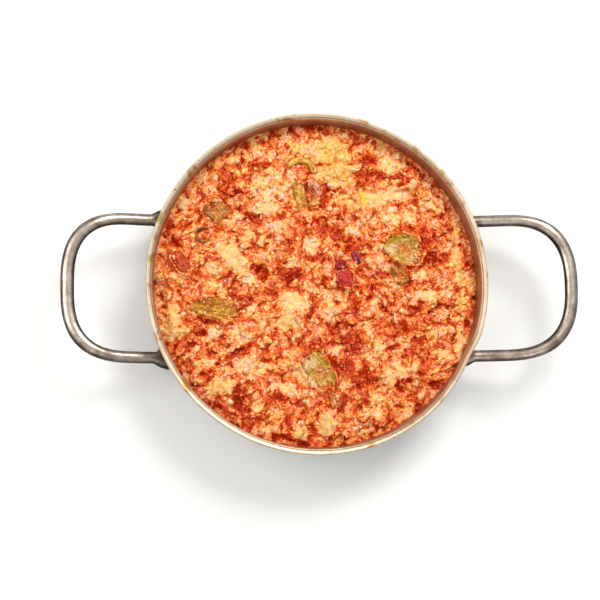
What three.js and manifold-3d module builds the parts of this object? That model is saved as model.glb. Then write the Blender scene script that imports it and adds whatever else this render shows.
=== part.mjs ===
// Menemen: eggs scrambled into tomato, green pepper and a little red onion, in the round
// two-handled aluminium pan that it is cooked and served in.
// Millimetres, +Z up, +X through the right handle, origin at the middle of the pan's underside.

import * as THREE from "three";
import { mergeVertices } from "three/addons/utils/BufferGeometryUtils.js";
import Module from "manifold-3d";

const wasm = await Module();
wasm.setup();

// ---- Driving dimensions ----

const gap = 0.3; // left between pieces that touch

// Pan: spun sheet with a flared wall and a lip that slopes inwards.
const rimRadius = 90;
const panHeight = 40;
const sheet = 2.6;
const lipWidth = 3.6;
const lipFall = 0.55; // from the lip's outer edge down to where it rolls into the wall
const lipRoll = 1;
const lipDepth = 3.4; // from the top down to where the lip leaves the outside of the wall
const lipSkirt = 1.4; // height of the lip's upright outer face
const lipCorner = 0.65;
const flare = THREE.MathUtils.degToRad(5);
const baseFillet = 9;
const panSpokes = 54;

// The knock in the rim beside the right handle: it deepens slowly, then springs back.
const dent = {
  start: 305,
  deepest: 333.5,
  end: 342,
  depth: 1.7,
  rampPower: 1.6,
  fadeFrom: 28,
};

// Handles: a bent steel rod each, its ends flattened down against the wall and riveted.
const rodDiameter = 6.2;
const legSpacing = 72.6;
const handleShift = -1.2; // both sit a little towards -Y
const legHeight = 21;
const gripHeight = 31;
const climb = { insideWall: 10, beforeReach: 6 }; // where the rod starts and ends its rise
const grip = { wider: 1.15, flatter: 0.87, pastBend: 12, beforeReach: 2 };
const handles = [
  { name: "handle_left", side: -1, reach: 130, bendFrom: 95, squareness: 2.8 },
  { name: "handle_right", side: 1, reach: 137, bendFrom: 101, squareness: 2.6 },
];
const tab = { width: 12, low: 8, high: 25, thickness: 2.4 };
const rivet = {
  height: 13.5,
  shankRadius: 2,
  shankInset: 0.15, // short of the wall's inside
  headRadius: 3.7,
  headRise: 2,
  sides: 10,
};

// Food: a shallow mound that stands a little below the rim.
const edgeLevel = 28.4;
const crownLevel = 30.8;
const shoulderWidth = 16; // over which the mound falls to its edge
const swell = { height: 0.7, lengthX: 11, startX: 0.6, lengthY: 13, startY: -0.4 };
const moundSpokes = 36;
const moundRings = 6;
const ringSpacing = 0.8; // under 1 the rings crowd together in the middle

// The largest lumps of egg: place, radius across, and rise above the mound.
const eggLumps = [
  { x: 15, y: 65, across: 12.5, rise: 2.4 },
  { x: 30, y: 41.5, across: 13, rise: 2.6 },
  { x: 43, y: 63, across: 8.5, rise: 2.2 },
  { x: -45, y: 15, across: 8, rise: 2.2 },
  { x: -14, y: -13.5, across: 10, rise: 2.3 },
  { x: -74, y: -20, across: 7.5, rise: 2 },
  { x: -48, y: 62, across: 9, rise: 2 },
  { x: -35, y: 42, across: 8, rise: 2.2 },
  { x: -8.5, y: 19, across: 9, rise: 2.3 },
  { x: -46, y: -52, across: 10.5, rise: 2.6 },
  { x: 70, y: -38, across: 8.5, rise: 2.2 },
  { x: 55, y: -6, across: 9.5, rise: 2.4 },
  { x: 40, y: -46.5, across: 9, rise: 2.4 },
  { x: 4, y: -71, across: 8.5, rise: 2 },
];
const lumpFlatness = 0.3;
const lumpSeed = 11;

// Lesser curds, scattered: radius across, height against that radius, and the draws' seed.
const middlingCurds = { count: 52, smallest: 4.2, largest: 6.8, flatness: 0.38, seed: 23 };
const smallCurds = { count: 60, smallest: 2.3, largest: 3.8, flatness: 0.65, seed: 37 };
const unevenness = { least: 0.88, most: 1.12 }; // of a curd's corners and of its outline
const nudge = { inwards: 0.5, sideways: 0.35, upwards: 0.35 };
const smallness = 1.5; // over 1 there are more small curds than large ones

// Pepper, tomato and onion that lie on top. Angles in degrees from +X, lengths in mm.
// "cup" lifts the long edges, "bow" lifts the ends; a negative value turns the skin up.
const slices = [
  {
    name: "pepper_2",
    kind: "pepper",
    x: -8.2,
    y: 46.6,
    angle: -79,
    length: 15,
    width: 6.4,
    thickness: 2.4,
    cup: -1.1,
    bow: -0.8,
    roundness: 0.35,
  },
  {
    name: "pepper_3",
    kind: "pepper",
    x: -1.3,
    y: 43.4,
    angle: 8,
    length: 5.4,
    width: 5.2,
    thickness: 2.2,
    cup: 0.6,
    bow: -0.4,
    roundness: 0.4,
  },
  {
    name: "pepper_4",
    kind: "pepper",
    x: -52.8,
    y: 38.8,
    angle: -42,
    length: 13.5,
    width: 11,
    thickness: 3,
    cup: 0.9,
    bow: -0.7,
    roundness: 0.55,
  },
  {
    name: "pepper_5",
    kind: "pepper",
    x: -54.8,
    y: -12.8,
    angle: -5,
    length: 30.5,
    width: 12.4,
    thickness: 2.4,
    cup: 1.4,
    bow: -1.1,
    roundness: 0.95,
  },
  {
    name: "pepper_6",
    kind: "pepper",
    x: 46,
    y: 18.6,
    angle: -13,
    length: 23,
    width: 16,
    thickness: 2.6,
    cup: 2.2,
    bow: 1.2,
    roundness: 0.85,
  },
  {
    name: "pepper_7",
    kind: "pepper",
    x: -0.5,
    y: -46,
    angle: -58,
    length: 22,
    width: 14.6,
    thickness: 2.6,
    cup: 1.9,
    bow: 0.9,
    roundness: 0.7,
  },
  {
    name: "pepper_9",
    kind: "pepper",
    x: 44,
    y: 5,
    angle: -60,
    length: 11.4,
    width: 8,
    thickness: 2.4,
    cup: 1,
    bow: -0.5,
    roundness: 0.6,
  },
  {
    name: "tomato_1",
    kind: "tomato",
    x: 14.3,
    y: 2.6,
    angle: -8,
    length: 9.4,
    width: 8.4,
    thickness: 4,
    cup: -0.5,
    bow: -0.5,
    roundness: 0.5,
  },
  {
    name: "tomato_2",
    kind: "tomato",
    x: -71.2,
    y: 11.3,
    angle: -58,
    length: 13,
    width: 7.6,
    thickness: 4.2,
    cup: -0.9,
    bow: -0.7,
    roundness: 0.75,
  },
  {
    name: "onion_1",
    kind: "onion",
    x: 12.3,
    y: 10,
    angle: -4,
    length: 5.8,
    width: 4.8,
    thickness: 3.6,
    cup: -0.3,
    bow: -0.3,
    roundness: 0.35,
  },
  {
    name: "onion_2",
    kind: "onion",
    x: 20.8,
    y: 13.8,
    angle: -62,
    length: 8,
    width: 4.2,
    thickness: 2.2,
    cup: 0.7,
    bow: -0.5,
    roundness: 0.6,
  },
  {
    name: "onion_3",
    kind: "onion",
    x: -0.4,
    y: 51.3,
    angle: -48,
    length: 10.5,
    width: 6.4,
    thickness: 2.6,
    cup: 0.8,
    bow: -0.6,
    roundness: 0.7,
  },
  {
    name: "onion_4",
    kind: "onion",
    x: 8.3,
    y: -61,
    angle: -62,
    length: 9.8,
    width: 6,
    thickness: 3,
    cup: -0.7,
    bow: -0.5,
    roundness: 0.75,
  },
];
const sliceSink = 0.9; // how deep a slice's underside lies in the mound
const slabParts = { length: 5, width: 3, thickness: 1 };

// Pepper cut across into an open ring.
const curls = [
  {
    name: "pepper_1",
    x: -7.9,
    y: 58.6,
    outer: 9,
    wall: 3.4,
    from: 2,
    to: 152,
    height: 4.2,
  },
  {
    name: "pepper_8",
    x: -59.4,
    y: 25.6,
    outer: 4.6,
    wall: 1.7,
    from: 60,
    to: 330,
    height: 3.4,
  },
];
const curlSink = 2; // how deep its cut face lies in the mound

// The strip of skin that curls off the tomato by the left wall.
const skinStrip = {
  name: "tomato_skin",
  height: 2.4,
  thickness: 1.3,
  sink: 0.9,
  start: [-78.2, 16.6],
  bend: [-76.4, 6.6],
  end: [-68.6, 2.6],
};

// ---- Finishes ----

const aluminium = { color: "#c9c7c0", roughness: 0.42, metalness: 0.9 };
const steel = { color: "#b9bbbd", roughness: 0.28, metalness: 1 };
const scramble = { color: "#e39a55", roughness: 0.45, metalness: 0 };
const flesh = {
  pepper: { color: "#a8832c", roughness: 0.35, metalness: 0 },
  tomato: { color: "#c23a22", roughness: 0.3, metalness: 0 },
  onion: { color: "#8e2b3c", roughness: 0.3, metalness: 0 },
};

// ---- Helpers ----

// The same draws each time the file runs.
function seededDraw(seed) {
  let state = seed >>> 0;
  return () => {
    state = (state + 0x6d2b79f5) >>> 0;
    let mixed = Math.imul(state ^ (state >>> 15), state | 1);
    mixed ^= mixed + Math.imul(mixed ^ (mixed >>> 7), mixed | 61);
    return ((mixed ^ (mixed >>> 14)) >>> 0) / 2 ** 32;
  };
}

function weld(geometry) {
  const bare = geometry.clone();
  bare.deleteAttribute("normal");
  bare.deleteAttribute("uv");
  return mergeVertices(bare, 1e-4);
}

function solidOf(geometry) {
  const welded = weld(geometry);
  return new wasm.Manifold(
    new wasm.Mesh({
      numProp: 3,
      vertProperties: welded.attributes.position.array,
      triVerts: new Uint32Array(welded.index.array),
    }),
  );
}

function geometryOf(solid) {
  const mesh = solid.getMesh();
  const geometry = new THREE.BufferGeometry();
  geometry.setAttribute(
    "position",
    new THREE.BufferAttribute(new Float32Array(mesh.vertProperties), 3),
  );
  geometry.setIndex(new THREE.BufferAttribute(new Uint32Array(mesh.triVerts), 1));
  geometry.computeVertexNormals();
  return geometry;
}

function named(name, geometry, finish) {
  const mesh = new THREE.Mesh(geometry, new THREE.MeshStandardMaterial(finish));
  mesh.name = name;
  return mesh;
}

// Moves each vertex of a geometry to where a function of its place puts it.
function reshape(geometry, place) {
  const positions = geometry.attributes.position;
  const point = new THREE.Vector3();
  for (let i = 0; i < positions.count; i++) {
    point.fromBufferAttribute(positions, i);
    place(point);
    positions.setXYZ(i, point.x, point.y, point.z);
  }
  return geometry;
}

// A profile of radius against height, turned about +Z, with a spoke at a bearing.
function turned(profile, spokes, bearing = 0) {
  const start = THREE.MathUtils.degToRad(bearing + 90);
  return new THREE.LatheGeometry(profile, spokes, start).rotateX(Math.PI / 2);
}

const smooth = (value, from, to) => THREE.MathUtils.smoothstep(value, from, to);

// ---- Pan ----

const cavityTop = rimRadius - lipWidth;
const innerRadiusAt = (z) => cavityTop - (panHeight - z) * Math.tan(flare);

// How far the rim is pushed in at a bearing: a slow ramp, a sharp fold, a quick return.
function dentAt(bearing, z) {
  const ramp = THREE.MathUtils.clamp(
    (bearing - dent.start) / (dent.deepest - dent.start),
    0,
    1,
  );
  const back = THREE.MathUtils.clamp(
    (dent.end - bearing) / (dent.end - dent.deepest),
    0,
    1,
  );
  const push = Math.min(ramp ** dent.rampPower, back);
  return dent.depth * push * smooth(z, dent.fadeFrom, panHeight);
}

function pushInDent(point) {
  const bearing = THREE.MathUtils.radToDeg(Math.atan2(point.y, point.x));
  const radius = Math.hypot(point.x, point.y);
  if (radius < 1) return;
  const pushed = radius - dentAt((bearing + 360) % 360, point.z);
  point.x *= pushed / radius;
  point.y *= pushed / radius;
}

// Floor, base fillet and wall of the cavity, moved inwards by inset (outwards if negative).
function cavityProfile(inset, top) {
  const profile = [new THREE.Vector2(0, sheet + inset)];
  const centreZ = sheet + baseFillet;
  const centreR = innerRadiusAt(centreZ) - baseFillet / Math.cos(flare);
  const steps = 3;
  for (let i = 0; i <= steps; i++) {
    const angle = -Math.PI / 2 + (i / steps) * (Math.PI / 2 - flare);
    const radius = baseFillet - inset;
    profile.push(
      new THREE.Vector2(
        centreR + radius * Math.cos(angle),
        centreZ + radius * Math.sin(angle),
      ),
    );
  }
  for (const z of [dent.fadeFrom, top]) {
    profile.push(new THREE.Vector2(innerRadiusAt(z) - inset / Math.cos(flare), z));
  }
  return profile;
}

function panGeometry() {
  const outside = cavityProfile(-sheet, panHeight - lipDepth);
  const inside = cavityProfile(0, panHeight - lipFall - lipRoll).reverse();
  const lip = [
    new THREE.Vector2(rimRadius, panHeight - lipSkirt),
    new THREE.Vector2(rimRadius, panHeight - lipCorner),
    new THREE.Vector2(rimRadius - lipCorner, panHeight),
    new THREE.Vector2(cavityTop + lipRoll, panHeight - lipFall),
  ];
  const profile = [...outside, ...lip, ...inside];
  return reshape(turned(profile, panSpokes, dent.deepest), pushInDent);
}

// The place on the outside of the wall at a height, as a matrix: x along the wall,
// y up its slope and z straight out from it.
function wallFrame(side, y, height, standOff) {
  const surface = innerRadiusAt(height) + sheet / Math.cos(flare);
  const bearing = Math.atan2(y, side * Math.sqrt(surface ** 2 - y ** 2));
  const along = new THREE.Vector3(-Math.sin(bearing), Math.cos(bearing), 0);
  const out = new THREE.Vector3(
    Math.cos(bearing) * Math.cos(flare),
    Math.sin(bearing) * Math.cos(flare),
    -Math.sin(flare),
  );
  const up = new THREE.Vector3().crossVectors(out, along);
  const foot = new THREE.Vector3(Math.cos(bearing), Math.sin(bearing), 0)
    .multiplyScalar(surface)
    .setZ(height)
    .addScaledVector(out, standOff);
  return new THREE.Matrix4().makeBasis(along, up, out).setPosition(foot);
}

const legPlaces = [];
for (const handle of handles) {
  for (const sign of [1, -1]) {
    legPlaces.push({ handle, y: handleShift + (sign * legSpacing) / 2 });
  }
}

// ---- Handles ----

// From one leg, round a rounded-square bend with bowed sides, to the other leg.
function handleRoute({ side, reach, bendFrom, squareness }) {
  const points = [];
  const halfSpan = legSpacing / 2;
  const tabMiddle = gap + tab.thickness / 2;
  const wall = innerRadiusAt(legHeight) + sheet / Math.cos(flare) + tabMiddle;
  const climbed = (x) => smooth(x, wall - climb.insideWall, reach - climb.beforeReach);
  const rise = (x) => legHeight + (gripHeight - legHeight) * climbed(x);
  const place = (x, y) =>
    points.push(new THREE.Vector3(side * x, side * y + handleShift, rise(x)));
  const rootOf = (y) => Math.sqrt(wall ** 2 - (side * y + handleShift) ** 2);
  const turnSteps = 26;
  place(rootOf(halfSpan), halfSpan);
  for (let i = 0; i <= turnSteps; i++) {
    const angle = Math.PI / 2 - (i / turnSteps) * Math.PI;
    const cosine = Math.abs(Math.cos(angle)) ** (2 / squareness);
    const sine = Math.abs(Math.sin(angle)) ** (2 / squareness);
    place(bendFrom + (reach - bendFrom) * cosine, Math.sign(angle) * halfSpan * sine);
  }
  place(rootOf(-halfSpan), -halfSpan);
  return new THREE.CatmullRomCurve3(points, false, "centripetal");
}

function rodGeometry(handle) {
  const route = handleRoute(handle);
  const section = new THREE.Shape();
  section.absarc(0, 0, rodDiameter / 2, 0, 2 * Math.PI);
  const rod = new THREE.ExtrudeGeometry(section, {
    steps: 32,
    curveSegments: 5,
    extrudePath: route,
    bevelEnabled: false,
  });
  const stationCount = 200;
  const stations = route.getSpacedPoints(stationCount);
  const gripFrom = handle.bendFrom + grip.pastBend;
  const gripUntil = handle.reach - grip.beforeReach;
  return reshape(rod, (point) => {
    let nearest = stations[0];
    for (const station of stations) {
      if (station.distanceToSquared(point) < nearest.distanceToSquared(point)) {
        nearest = station;
      }
    }
    const gripped = smooth(Math.abs(nearest.x), gripFrom, gripUntil);
    const wider = 1 + (grip.wider - 1) * gripped;
    const flatter = 1 + (grip.flatter - 1) * gripped;
    point.x = nearest.x + (point.x - nearest.x) * wider;
    point.y = nearest.y + (point.y - nearest.y) * wider;
    point.z = nearest.z + (point.z - nearest.z) * flatter;
  });
}

// The flattened end of a leg: a round-ended plate that hangs down over the rivet.
function tabGeometry(side, y) {
  const radius = tab.width / 2;
  const lowest = tab.low - legHeight + radius;
  const highest = tab.high - legHeight - radius;
  const outline = new THREE.Shape();
  outline.absarc(0, lowest, radius, Math.PI, 2 * Math.PI, false);
  outline.absarc(0, highest, radius, 0, Math.PI, false);
  const hole = new THREE.Path();
  const drop = rivet.height - legHeight;
  hole.absarc(0, drop, rivet.shankRadius + gap, 0, 2 * Math.PI, true);
  outline.holes.push(hole);
  return new THREE.ExtrudeGeometry(outline, {
    depth: tab.thickness,
    curveSegments: 4,
    bevelEnabled: false,
  }).applyMatrix4(wallFrame(side, y, legHeight, gap));
}

function handleGeometry(handle) {
  let solid = solidOf(rodGeometry(handle));
  for (const place of legPlaces) {
    if (place.handle === handle) {
      solid = solid.add(solidOf(tabGeometry(handle.side, place.y)));
    }
  }
  return geometryOf(solid);
}

// Domed head outside the tab, shank through tab and wall, flush with the wall's inside.
function rivetGeometry(side, y) {
  const under = gap + tab.thickness + gap;
  const shankEnd = rivet.shankInset - sheet;
  const profile = [
    new THREE.Vector2(0, shankEnd),
    new THREE.Vector2(rivet.shankRadius, shankEnd),
    new THREE.Vector2(rivet.shankRadius, under),
  ];
  const domeSteps = 3;
  for (let i = 0; i <= domeSteps; i++) {
    const angle = (i / domeSteps) * (Math.PI / 2);
    profile.push(
      new THREE.Vector2(
        i < domeSteps ? rivet.headRadius * Math.cos(angle) : 0,
        under + rivet.headRise * Math.sin(angle),
      ),
    );
  }
  return turned(profile, rivet.sides).applyMatrix4(rivetFrame(side, y));
}

// On the slope of the wall, straight below the middle of the leg.
function rivetFrame(side, y) {
  const drop = new THREE.Matrix4().makeTranslation(0, rivet.height - legHeight, 0);
  return wallFrame(side, y, legHeight, 0).multiply(drop);
}

function drilledPan() {
  let solid = solidOf(panGeometry());
  const bore = rivet.shankRadius + gap;
  const drillSides = 8;
  for (const place of legPlaces) {
    const drill = new THREE.CylinderGeometry(bore, bore, 3 * sheet, drillSides);
    drill.rotateX(Math.PI / 2);
    drill.applyMatrix4(rivetFrame(place.handle.side, place.y));
    solid = solid.subtract(solidOf(drill));
  }
  return geometryOf(solid);
}

// ---- Food ----

// Height of the bare mound: level in the middle, falling to the edge, with slow swells.
function moundAt(x, y) {
  const radius = Math.hypot(x, y);
  const edge = innerRadiusAt(edgeLevel);
  const fall = 1 - smooth(radius, edge - shoulderWidth, edge);
  const waves =
    Math.sin(x / swell.lengthX + swell.startX) *
    Math.cos(y / swell.lengthY + swell.startY);
  return edgeLevel + (crownLevel - edgeLevel + swell.height * waves) * fall;
}

function moundGeometry() {
  const profile = cavityProfile(gap, edgeLevel);
  const edge = profile.at(-1).x;
  for (let i = 1; i <= moundRings; i++) {
    const radius = edge * (1 - i / moundRings) ** ringSpacing;
    profile.push(new THREE.Vector2(radius, crownLevel));
  }
  return reshape(turned(profile, moundSpokes), (point) => {
    if (point.z > edgeLevel + 0.01) {
      point.z = moundAt(point.x, point.y);
    }
  });
}

// A lump with uneven facets, flatter than it is wide, moved in if it would meet the wall.
function curdGeometry(place, up, flatness, detail, draw) {
  const { across } = place;
  const { least, most } = unevenness;
  const turn = draw() * 2 * Math.PI;
  const stretch = least + (most - least) * draw();
  const lump = weld(new THREE.IcosahedronGeometry(1, detail));
  reshape(lump, (point) => {
    point.multiplyScalar(most - (most - least) * draw());
    point.x *= across * stretch;
    point.y *= across / stretch;
    point.z *= across * flatness;
  });
  const room = innerRadiusAt(edgeLevel) - 2 * gap - (across * most) / least;
  const inwards = Math.min(1, room / Math.hypot(place.x, place.y));
  const x = place.x * inwards;
  const y = place.y * inwards;
  return lump.rotateZ(turn).translate(x, y, moundAt(x, y) + up);
}

// Whether a curd would lie on, or push into, one of the toppings.
function crowdsTopping({ x, y, across }) {
  const nearCurl = curls.some(
    (curl) => Math.hypot(x - curl.x, y - curl.y) < curl.outer + across,
  );
  const nearSlice = slices.some((slice) => {
    const local = new THREE.Vector2(x - slice.x, y - slice.y).rotateAround(
      new THREE.Vector2(),
      -THREE.MathUtils.degToRad(slice.angle),
    );
    const along = local.x / (slice.length / 2 + across);
    const over = local.y / (slice.width / 2 + across);
    return Math.hypot(along, over) < 1;
  });
  return nearCurl || nearSlice;
}

// Scatters curds over the mound on a sunflower spiral, each nudged by a seeded draw.
function scatterCurds({ count, smallest, largest, flatness, seed }) {
  const draw = seededDraw(seed);
  const golden = Math.PI * (3 - Math.sqrt(5));
  const curds = [];
  for (let i = 0; i < count; i++) {
    const across = smallest + (largest - smallest) * draw() ** smallness;
    const spread = innerRadiusAt(edgeLevel) * Math.sqrt((i + 0.5) / count);
    const radius = spread - across * nudge.inwards * draw();
    const bearing = i * golden + nudge.sideways * draw();
    const place = {
      x: radius * Math.cos(bearing),
      y: radius * Math.sin(bearing),
      across,
    };
    const up = across * flatness * nudge.upwards * draw();
    if (crowdsTopping(place)) continue;
    curds.push(curdGeometry(place, up, flatness, 0, draw));
  }
  return curds;
}

// A slab bent both ways, its corners drawn in towards an oval, grown all over by "grow".
function sliceGeometry(slice, grow) {
  const parts = slabParts;
  const slab = new THREE.BoxGeometry(2, 2, 2, parts.length, parts.width, parts.thickness);
  const halfLength = slice.length / 2 + grow;
  const halfWidth = slice.width / 2 + grow;
  const halfThickness = slice.thickness / 2 + grow;
  reshape(slab, (point) => {
    const { x: u, y: v, z: w } = point;
    const roundU = u * (1 - slice.roundness * (1 - Math.sqrt(1 - (v * v) / 2)));
    const roundV = v * (1 - slice.roundness * (1 - Math.sqrt(1 - (u * u) / 2)));
    const lift = slice.cup * roundV ** 2 + slice.bow * roundU ** 2;
    point.set(roundU * halfLength, roundV * halfWidth, w * halfThickness + lift);
  });
  const seat = moundAt(slice.x, slice.y) - sliceSink + slice.thickness / 2;
  return slab
    .rotateZ(THREE.MathUtils.degToRad(slice.angle))
    .translate(slice.x, slice.y, seat);
}

// Part of a ring of pepper, lying on its cut face.
function curlGeometry(curl, grow) {
  const endGrowth = grow / curl.outer;
  const from = THREE.MathUtils.degToRad(curl.from) - endGrowth;
  const to = THREE.MathUtils.degToRad(curl.to) + endGrowth;
  const outline = new THREE.Shape();
  outline.absarc(0, 0, curl.outer + grow, from, to, false);
  outline.absarc(0, 0, curl.outer - curl.wall - grow, to, from, true);
  outline.closePath();
  const low = moundAt(curl.x, curl.y) - curlSink - grow;
  return new THREE.ExtrudeGeometry(outline, {
    depth: curl.height + 2 * grow,
    curveSegments: 8,
    bevelEnabled: false,
  }).translate(curl.x, curl.y, low);
}

function skinStripGeometry(strip, grow) {
  const height = (x, y) => moundAt(x, y) - strip.sink + strip.height / 2;
  const corner = ([x, y]) => new THREE.Vector3(x, y, height(x, y));
  const start = corner(strip.start);
  const end = corner(strip.end);
  const towards = end.clone().sub(start).normalize();
  const route = new THREE.QuadraticBezierCurve3(
    start.addScaledVector(towards, -grow),
    corner(strip.bend),
    end.addScaledVector(towards, grow),
  );
  const section = new THREE.Shape();
  section.absellipse(
    0,
    0,
    strip.height / 2 + grow,
    strip.thickness / 2 + grow,
    0,
    2 * Math.PI,
  );
  return new THREE.ExtrudeGeometry(section, {
    steps: 7,
    curveSegments: 4,
    extrudePath: route,
    bevelEnabled: false,
  });
}

// The toppings, as makers of geometry that can be grown by the gap around each.
const toppings = [
  ...curls.map((curl) => ({
    name: curl.name,
    finish: flesh.pepper,
    make: (grow) => curlGeometry(curl, grow),
  })),
  ...slices.map((slice) => ({
    name: slice.name,
    finish: flesh[slice.kind],
    make: (grow) => sliceGeometry(slice, grow),
  })),
  {
    name: skinStrip.name,
    finish: flesh.tomato,
    make: (grow) => skinStripGeometry(skinStrip, grow),
  },
];

// The mound with every curd fused on and the toppings' seats cut out. Only the largest
// body is kept, which drops loose scraps and fills sealed hollows.
function scrambleGeometry() {
  const lumpDraw = seededDraw(lumpSeed);
  const curds = eggLumps.map((lump) => {
    const up = lump.rise - lump.across * lumpFlatness;
    return curdGeometry(lump, up, lumpFlatness, 1, lumpDraw);
  });
  curds.push(...scatterCurds(middlingCurds), ...scatterCurds(smallCurds));
  let solid = solidOf(moundGeometry());
  for (const curd of curds) {
    solid = solid.add(solidOf(curd));
  }
  for (const topping of toppings) {
    solid = solid.subtract(solidOf(topping.make(gap)));
  }
  const bodies = solid.decompose();
  bodies.sort((a, b) => b.volume() - a.volume());
  return geometryOf(bodies[0]);
}

// ---- The whole ----

const menemen = new THREE.Group();
menemen.add(named("pan", drilledPan(), aluminium));
for (const handle of handles) {
  menemen.add(named(handle.name, handleGeometry(handle), steel));
}
legPlaces.forEach(({ handle, y }, i) => {
  menemen.add(named(`rivet_${i + 1}`, rivetGeometry(handle.side, y), steel));
});
menemen.add(named("menemen", scrambleGeometry(), scramble));
for (const topping of toppings) {
  menemen.add(named(topping.name, topping.make(0), topping.finish));
}

export default menemen;
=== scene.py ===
# Menemen in its two-handled pan: eggs scrambled with tomato, green pepper and red onion.
# Shapes are worked out in millimetres, with the origin under the middle of the pan.

import bpy
import numpy as np
from mathutils import Matrix, Vector


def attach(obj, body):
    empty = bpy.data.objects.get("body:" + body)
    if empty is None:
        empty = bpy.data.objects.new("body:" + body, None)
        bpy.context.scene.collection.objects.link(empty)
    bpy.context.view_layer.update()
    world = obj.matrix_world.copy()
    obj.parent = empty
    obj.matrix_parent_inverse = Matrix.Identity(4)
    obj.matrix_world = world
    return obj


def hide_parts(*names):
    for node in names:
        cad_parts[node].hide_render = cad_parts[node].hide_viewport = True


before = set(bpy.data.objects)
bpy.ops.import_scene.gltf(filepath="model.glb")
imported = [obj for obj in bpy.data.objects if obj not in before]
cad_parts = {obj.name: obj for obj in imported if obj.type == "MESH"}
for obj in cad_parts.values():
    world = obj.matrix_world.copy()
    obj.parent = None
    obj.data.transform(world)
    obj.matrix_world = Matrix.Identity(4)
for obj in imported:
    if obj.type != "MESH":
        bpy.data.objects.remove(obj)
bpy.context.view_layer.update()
mm = 0.001
print("frame loaded:", len(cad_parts), "nodes")


# Numbers and noise, on whole arrays

def smoothStep(value, low, high):
    # 3t^2 - 2t^3 of how far the value is from low to high
    t = np.clip((value - low) / (high - low), 0, 1)
    return t * t * (3 - 2 * t)


def placeDraw(i, j, seed):
    # A steady draw from 0 to 1 for each whole-number place: multiply by odd numbers, add, mix the bits
    bits = i.astype(np.int64) * 374761393 + j.astype(np.int64) * 668265263 + seed * 1274126177
    bits &= 0xFFFFFFFF
    bits = ((bits ^ (bits >> 13)) * 1103515245) & 0xFFFFFFFF
    bits = ((bits ^ (bits >> 16)) * 1597334677) & 0xFFFFFFFF
    return ((bits ^ (bits >> 15)) & 0xFFFFFF) / 0xFFFFFF


def softNoise(x, y, size, seed):
    # -1 to 1: draws at the corners of squares of a size, blended across each square by 3t^2 - 2t^3
    i, j = np.floor(x / size), np.floor(y / size)
    s, t = smoothStep(x / size - i, 0, 1), smoothStep(y / size - j, 0, 1)
    low = placeDraw(i, j, seed) * (1 - s) + placeDraw(i + 1, j, seed) * s
    high = placeDraw(i, j + 1, seed) * (1 - s) + placeDraw(i + 1, j + 1, seed) * s
    return 2 * (low * (1 - t) + high * t) - 1


def lumpField(x, y, size, seed):
    # One lump to each square of a size, anywhere in it: a squashed dome sqrt(1 - distance^2) on a level
    # of its own. The highest dome counts. Gives its height from 0 to 1 and the draw of the lump on top.
    turn = 0.7 * seed
    gx = (x * np.cos(turn) - y * np.sin(turn)) / size
    gy = (x * np.sin(turn) + y * np.cos(turn)) / size
    best, owner = np.zeros_like(x), np.zeros_like(x)
    for stepI in (-1, 0, 1):
        for stepJ in (-1, 0, 1):
            i, j = np.floor(gx) + stepI, np.floor(gy) + stepJ
            offX = gx - i - 0.1 - 0.8 * placeDraw(i, j, seed)
            offY = gy - j - 0.1 - 0.8 * placeDraw(i, j, seed + 1)
            lean = np.pi * placeDraw(i, j, seed + 2)
            along = offX * np.cos(lean) + offY * np.sin(lean)
            across = offY * np.cos(lean) - offX * np.sin(lean)
            reach = 0.62 + 0.34 * placeDraw(i, j, seed + 3)
            dome = 1 - (along / reach) ** 2 - (across / reach / 0.78) ** 2
            level = placeDraw(i, j, seed + 4)
            height = np.where(dome > 0, 0.4 * level + 0.6 * np.sqrt(np.maximum(dome, 0)), 0)
            above = height > best
            best = np.where(above, height, best)
            owner = np.where(above, placeDraw(i, j, seed + 5), owner)
    return best, owner


def billow(x, y, size, seed, layers=3):
    # 0 to 1: round lumps with sharp creases between them. The distance of soft noise from zero, in layers
    # each about half the size and half the weight of the one before, to the power 0.7
    total, weight = np.zeros_like(x), 0
    for layer in range(layers):
        turn, share = seed + 1.1 * layer, 0.55 ** layer
        turnedX = x * np.cos(turn) - y * np.sin(turn)
        turnedY = x * np.sin(turn) + y * np.cos(turn)
        total += share * np.abs(softNoise(turnedX, turnedY, size * share, seed + layer))
        weight += share
    return (total / weight) ** 0.7


# Meshes from arrays

def ringFaces(rings, columns):
    # Faces of a shape made of a first pole, rings of points and a last pole
    ring = 1 + np.arange(rings)[:, None] * columns + np.arange(columns)
    beside = np.roll(ring, -1, axis=1)
    quads = np.stack([ring[:-1], beside[:-1], beside[1:], ring[1:]], -1).reshape(-1, 4)
    first = np.stack([np.zeros(columns, int), beside[0], ring[0]], -1)
    last = np.stack([np.full(columns, 1 + rings * columns), ring[-1], beside[-1]], -1)
    return quads, np.concatenate([first, last])


def repeatFaces(quads, tris, copies, points):
    # The same faces for many copies that each have a number of points
    shift = (np.arange(copies) * points)[:, None, None]
    return (quads[None] + shift).reshape(-1, 4), (tris[None] + shift).reshape(-1, 3)


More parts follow.
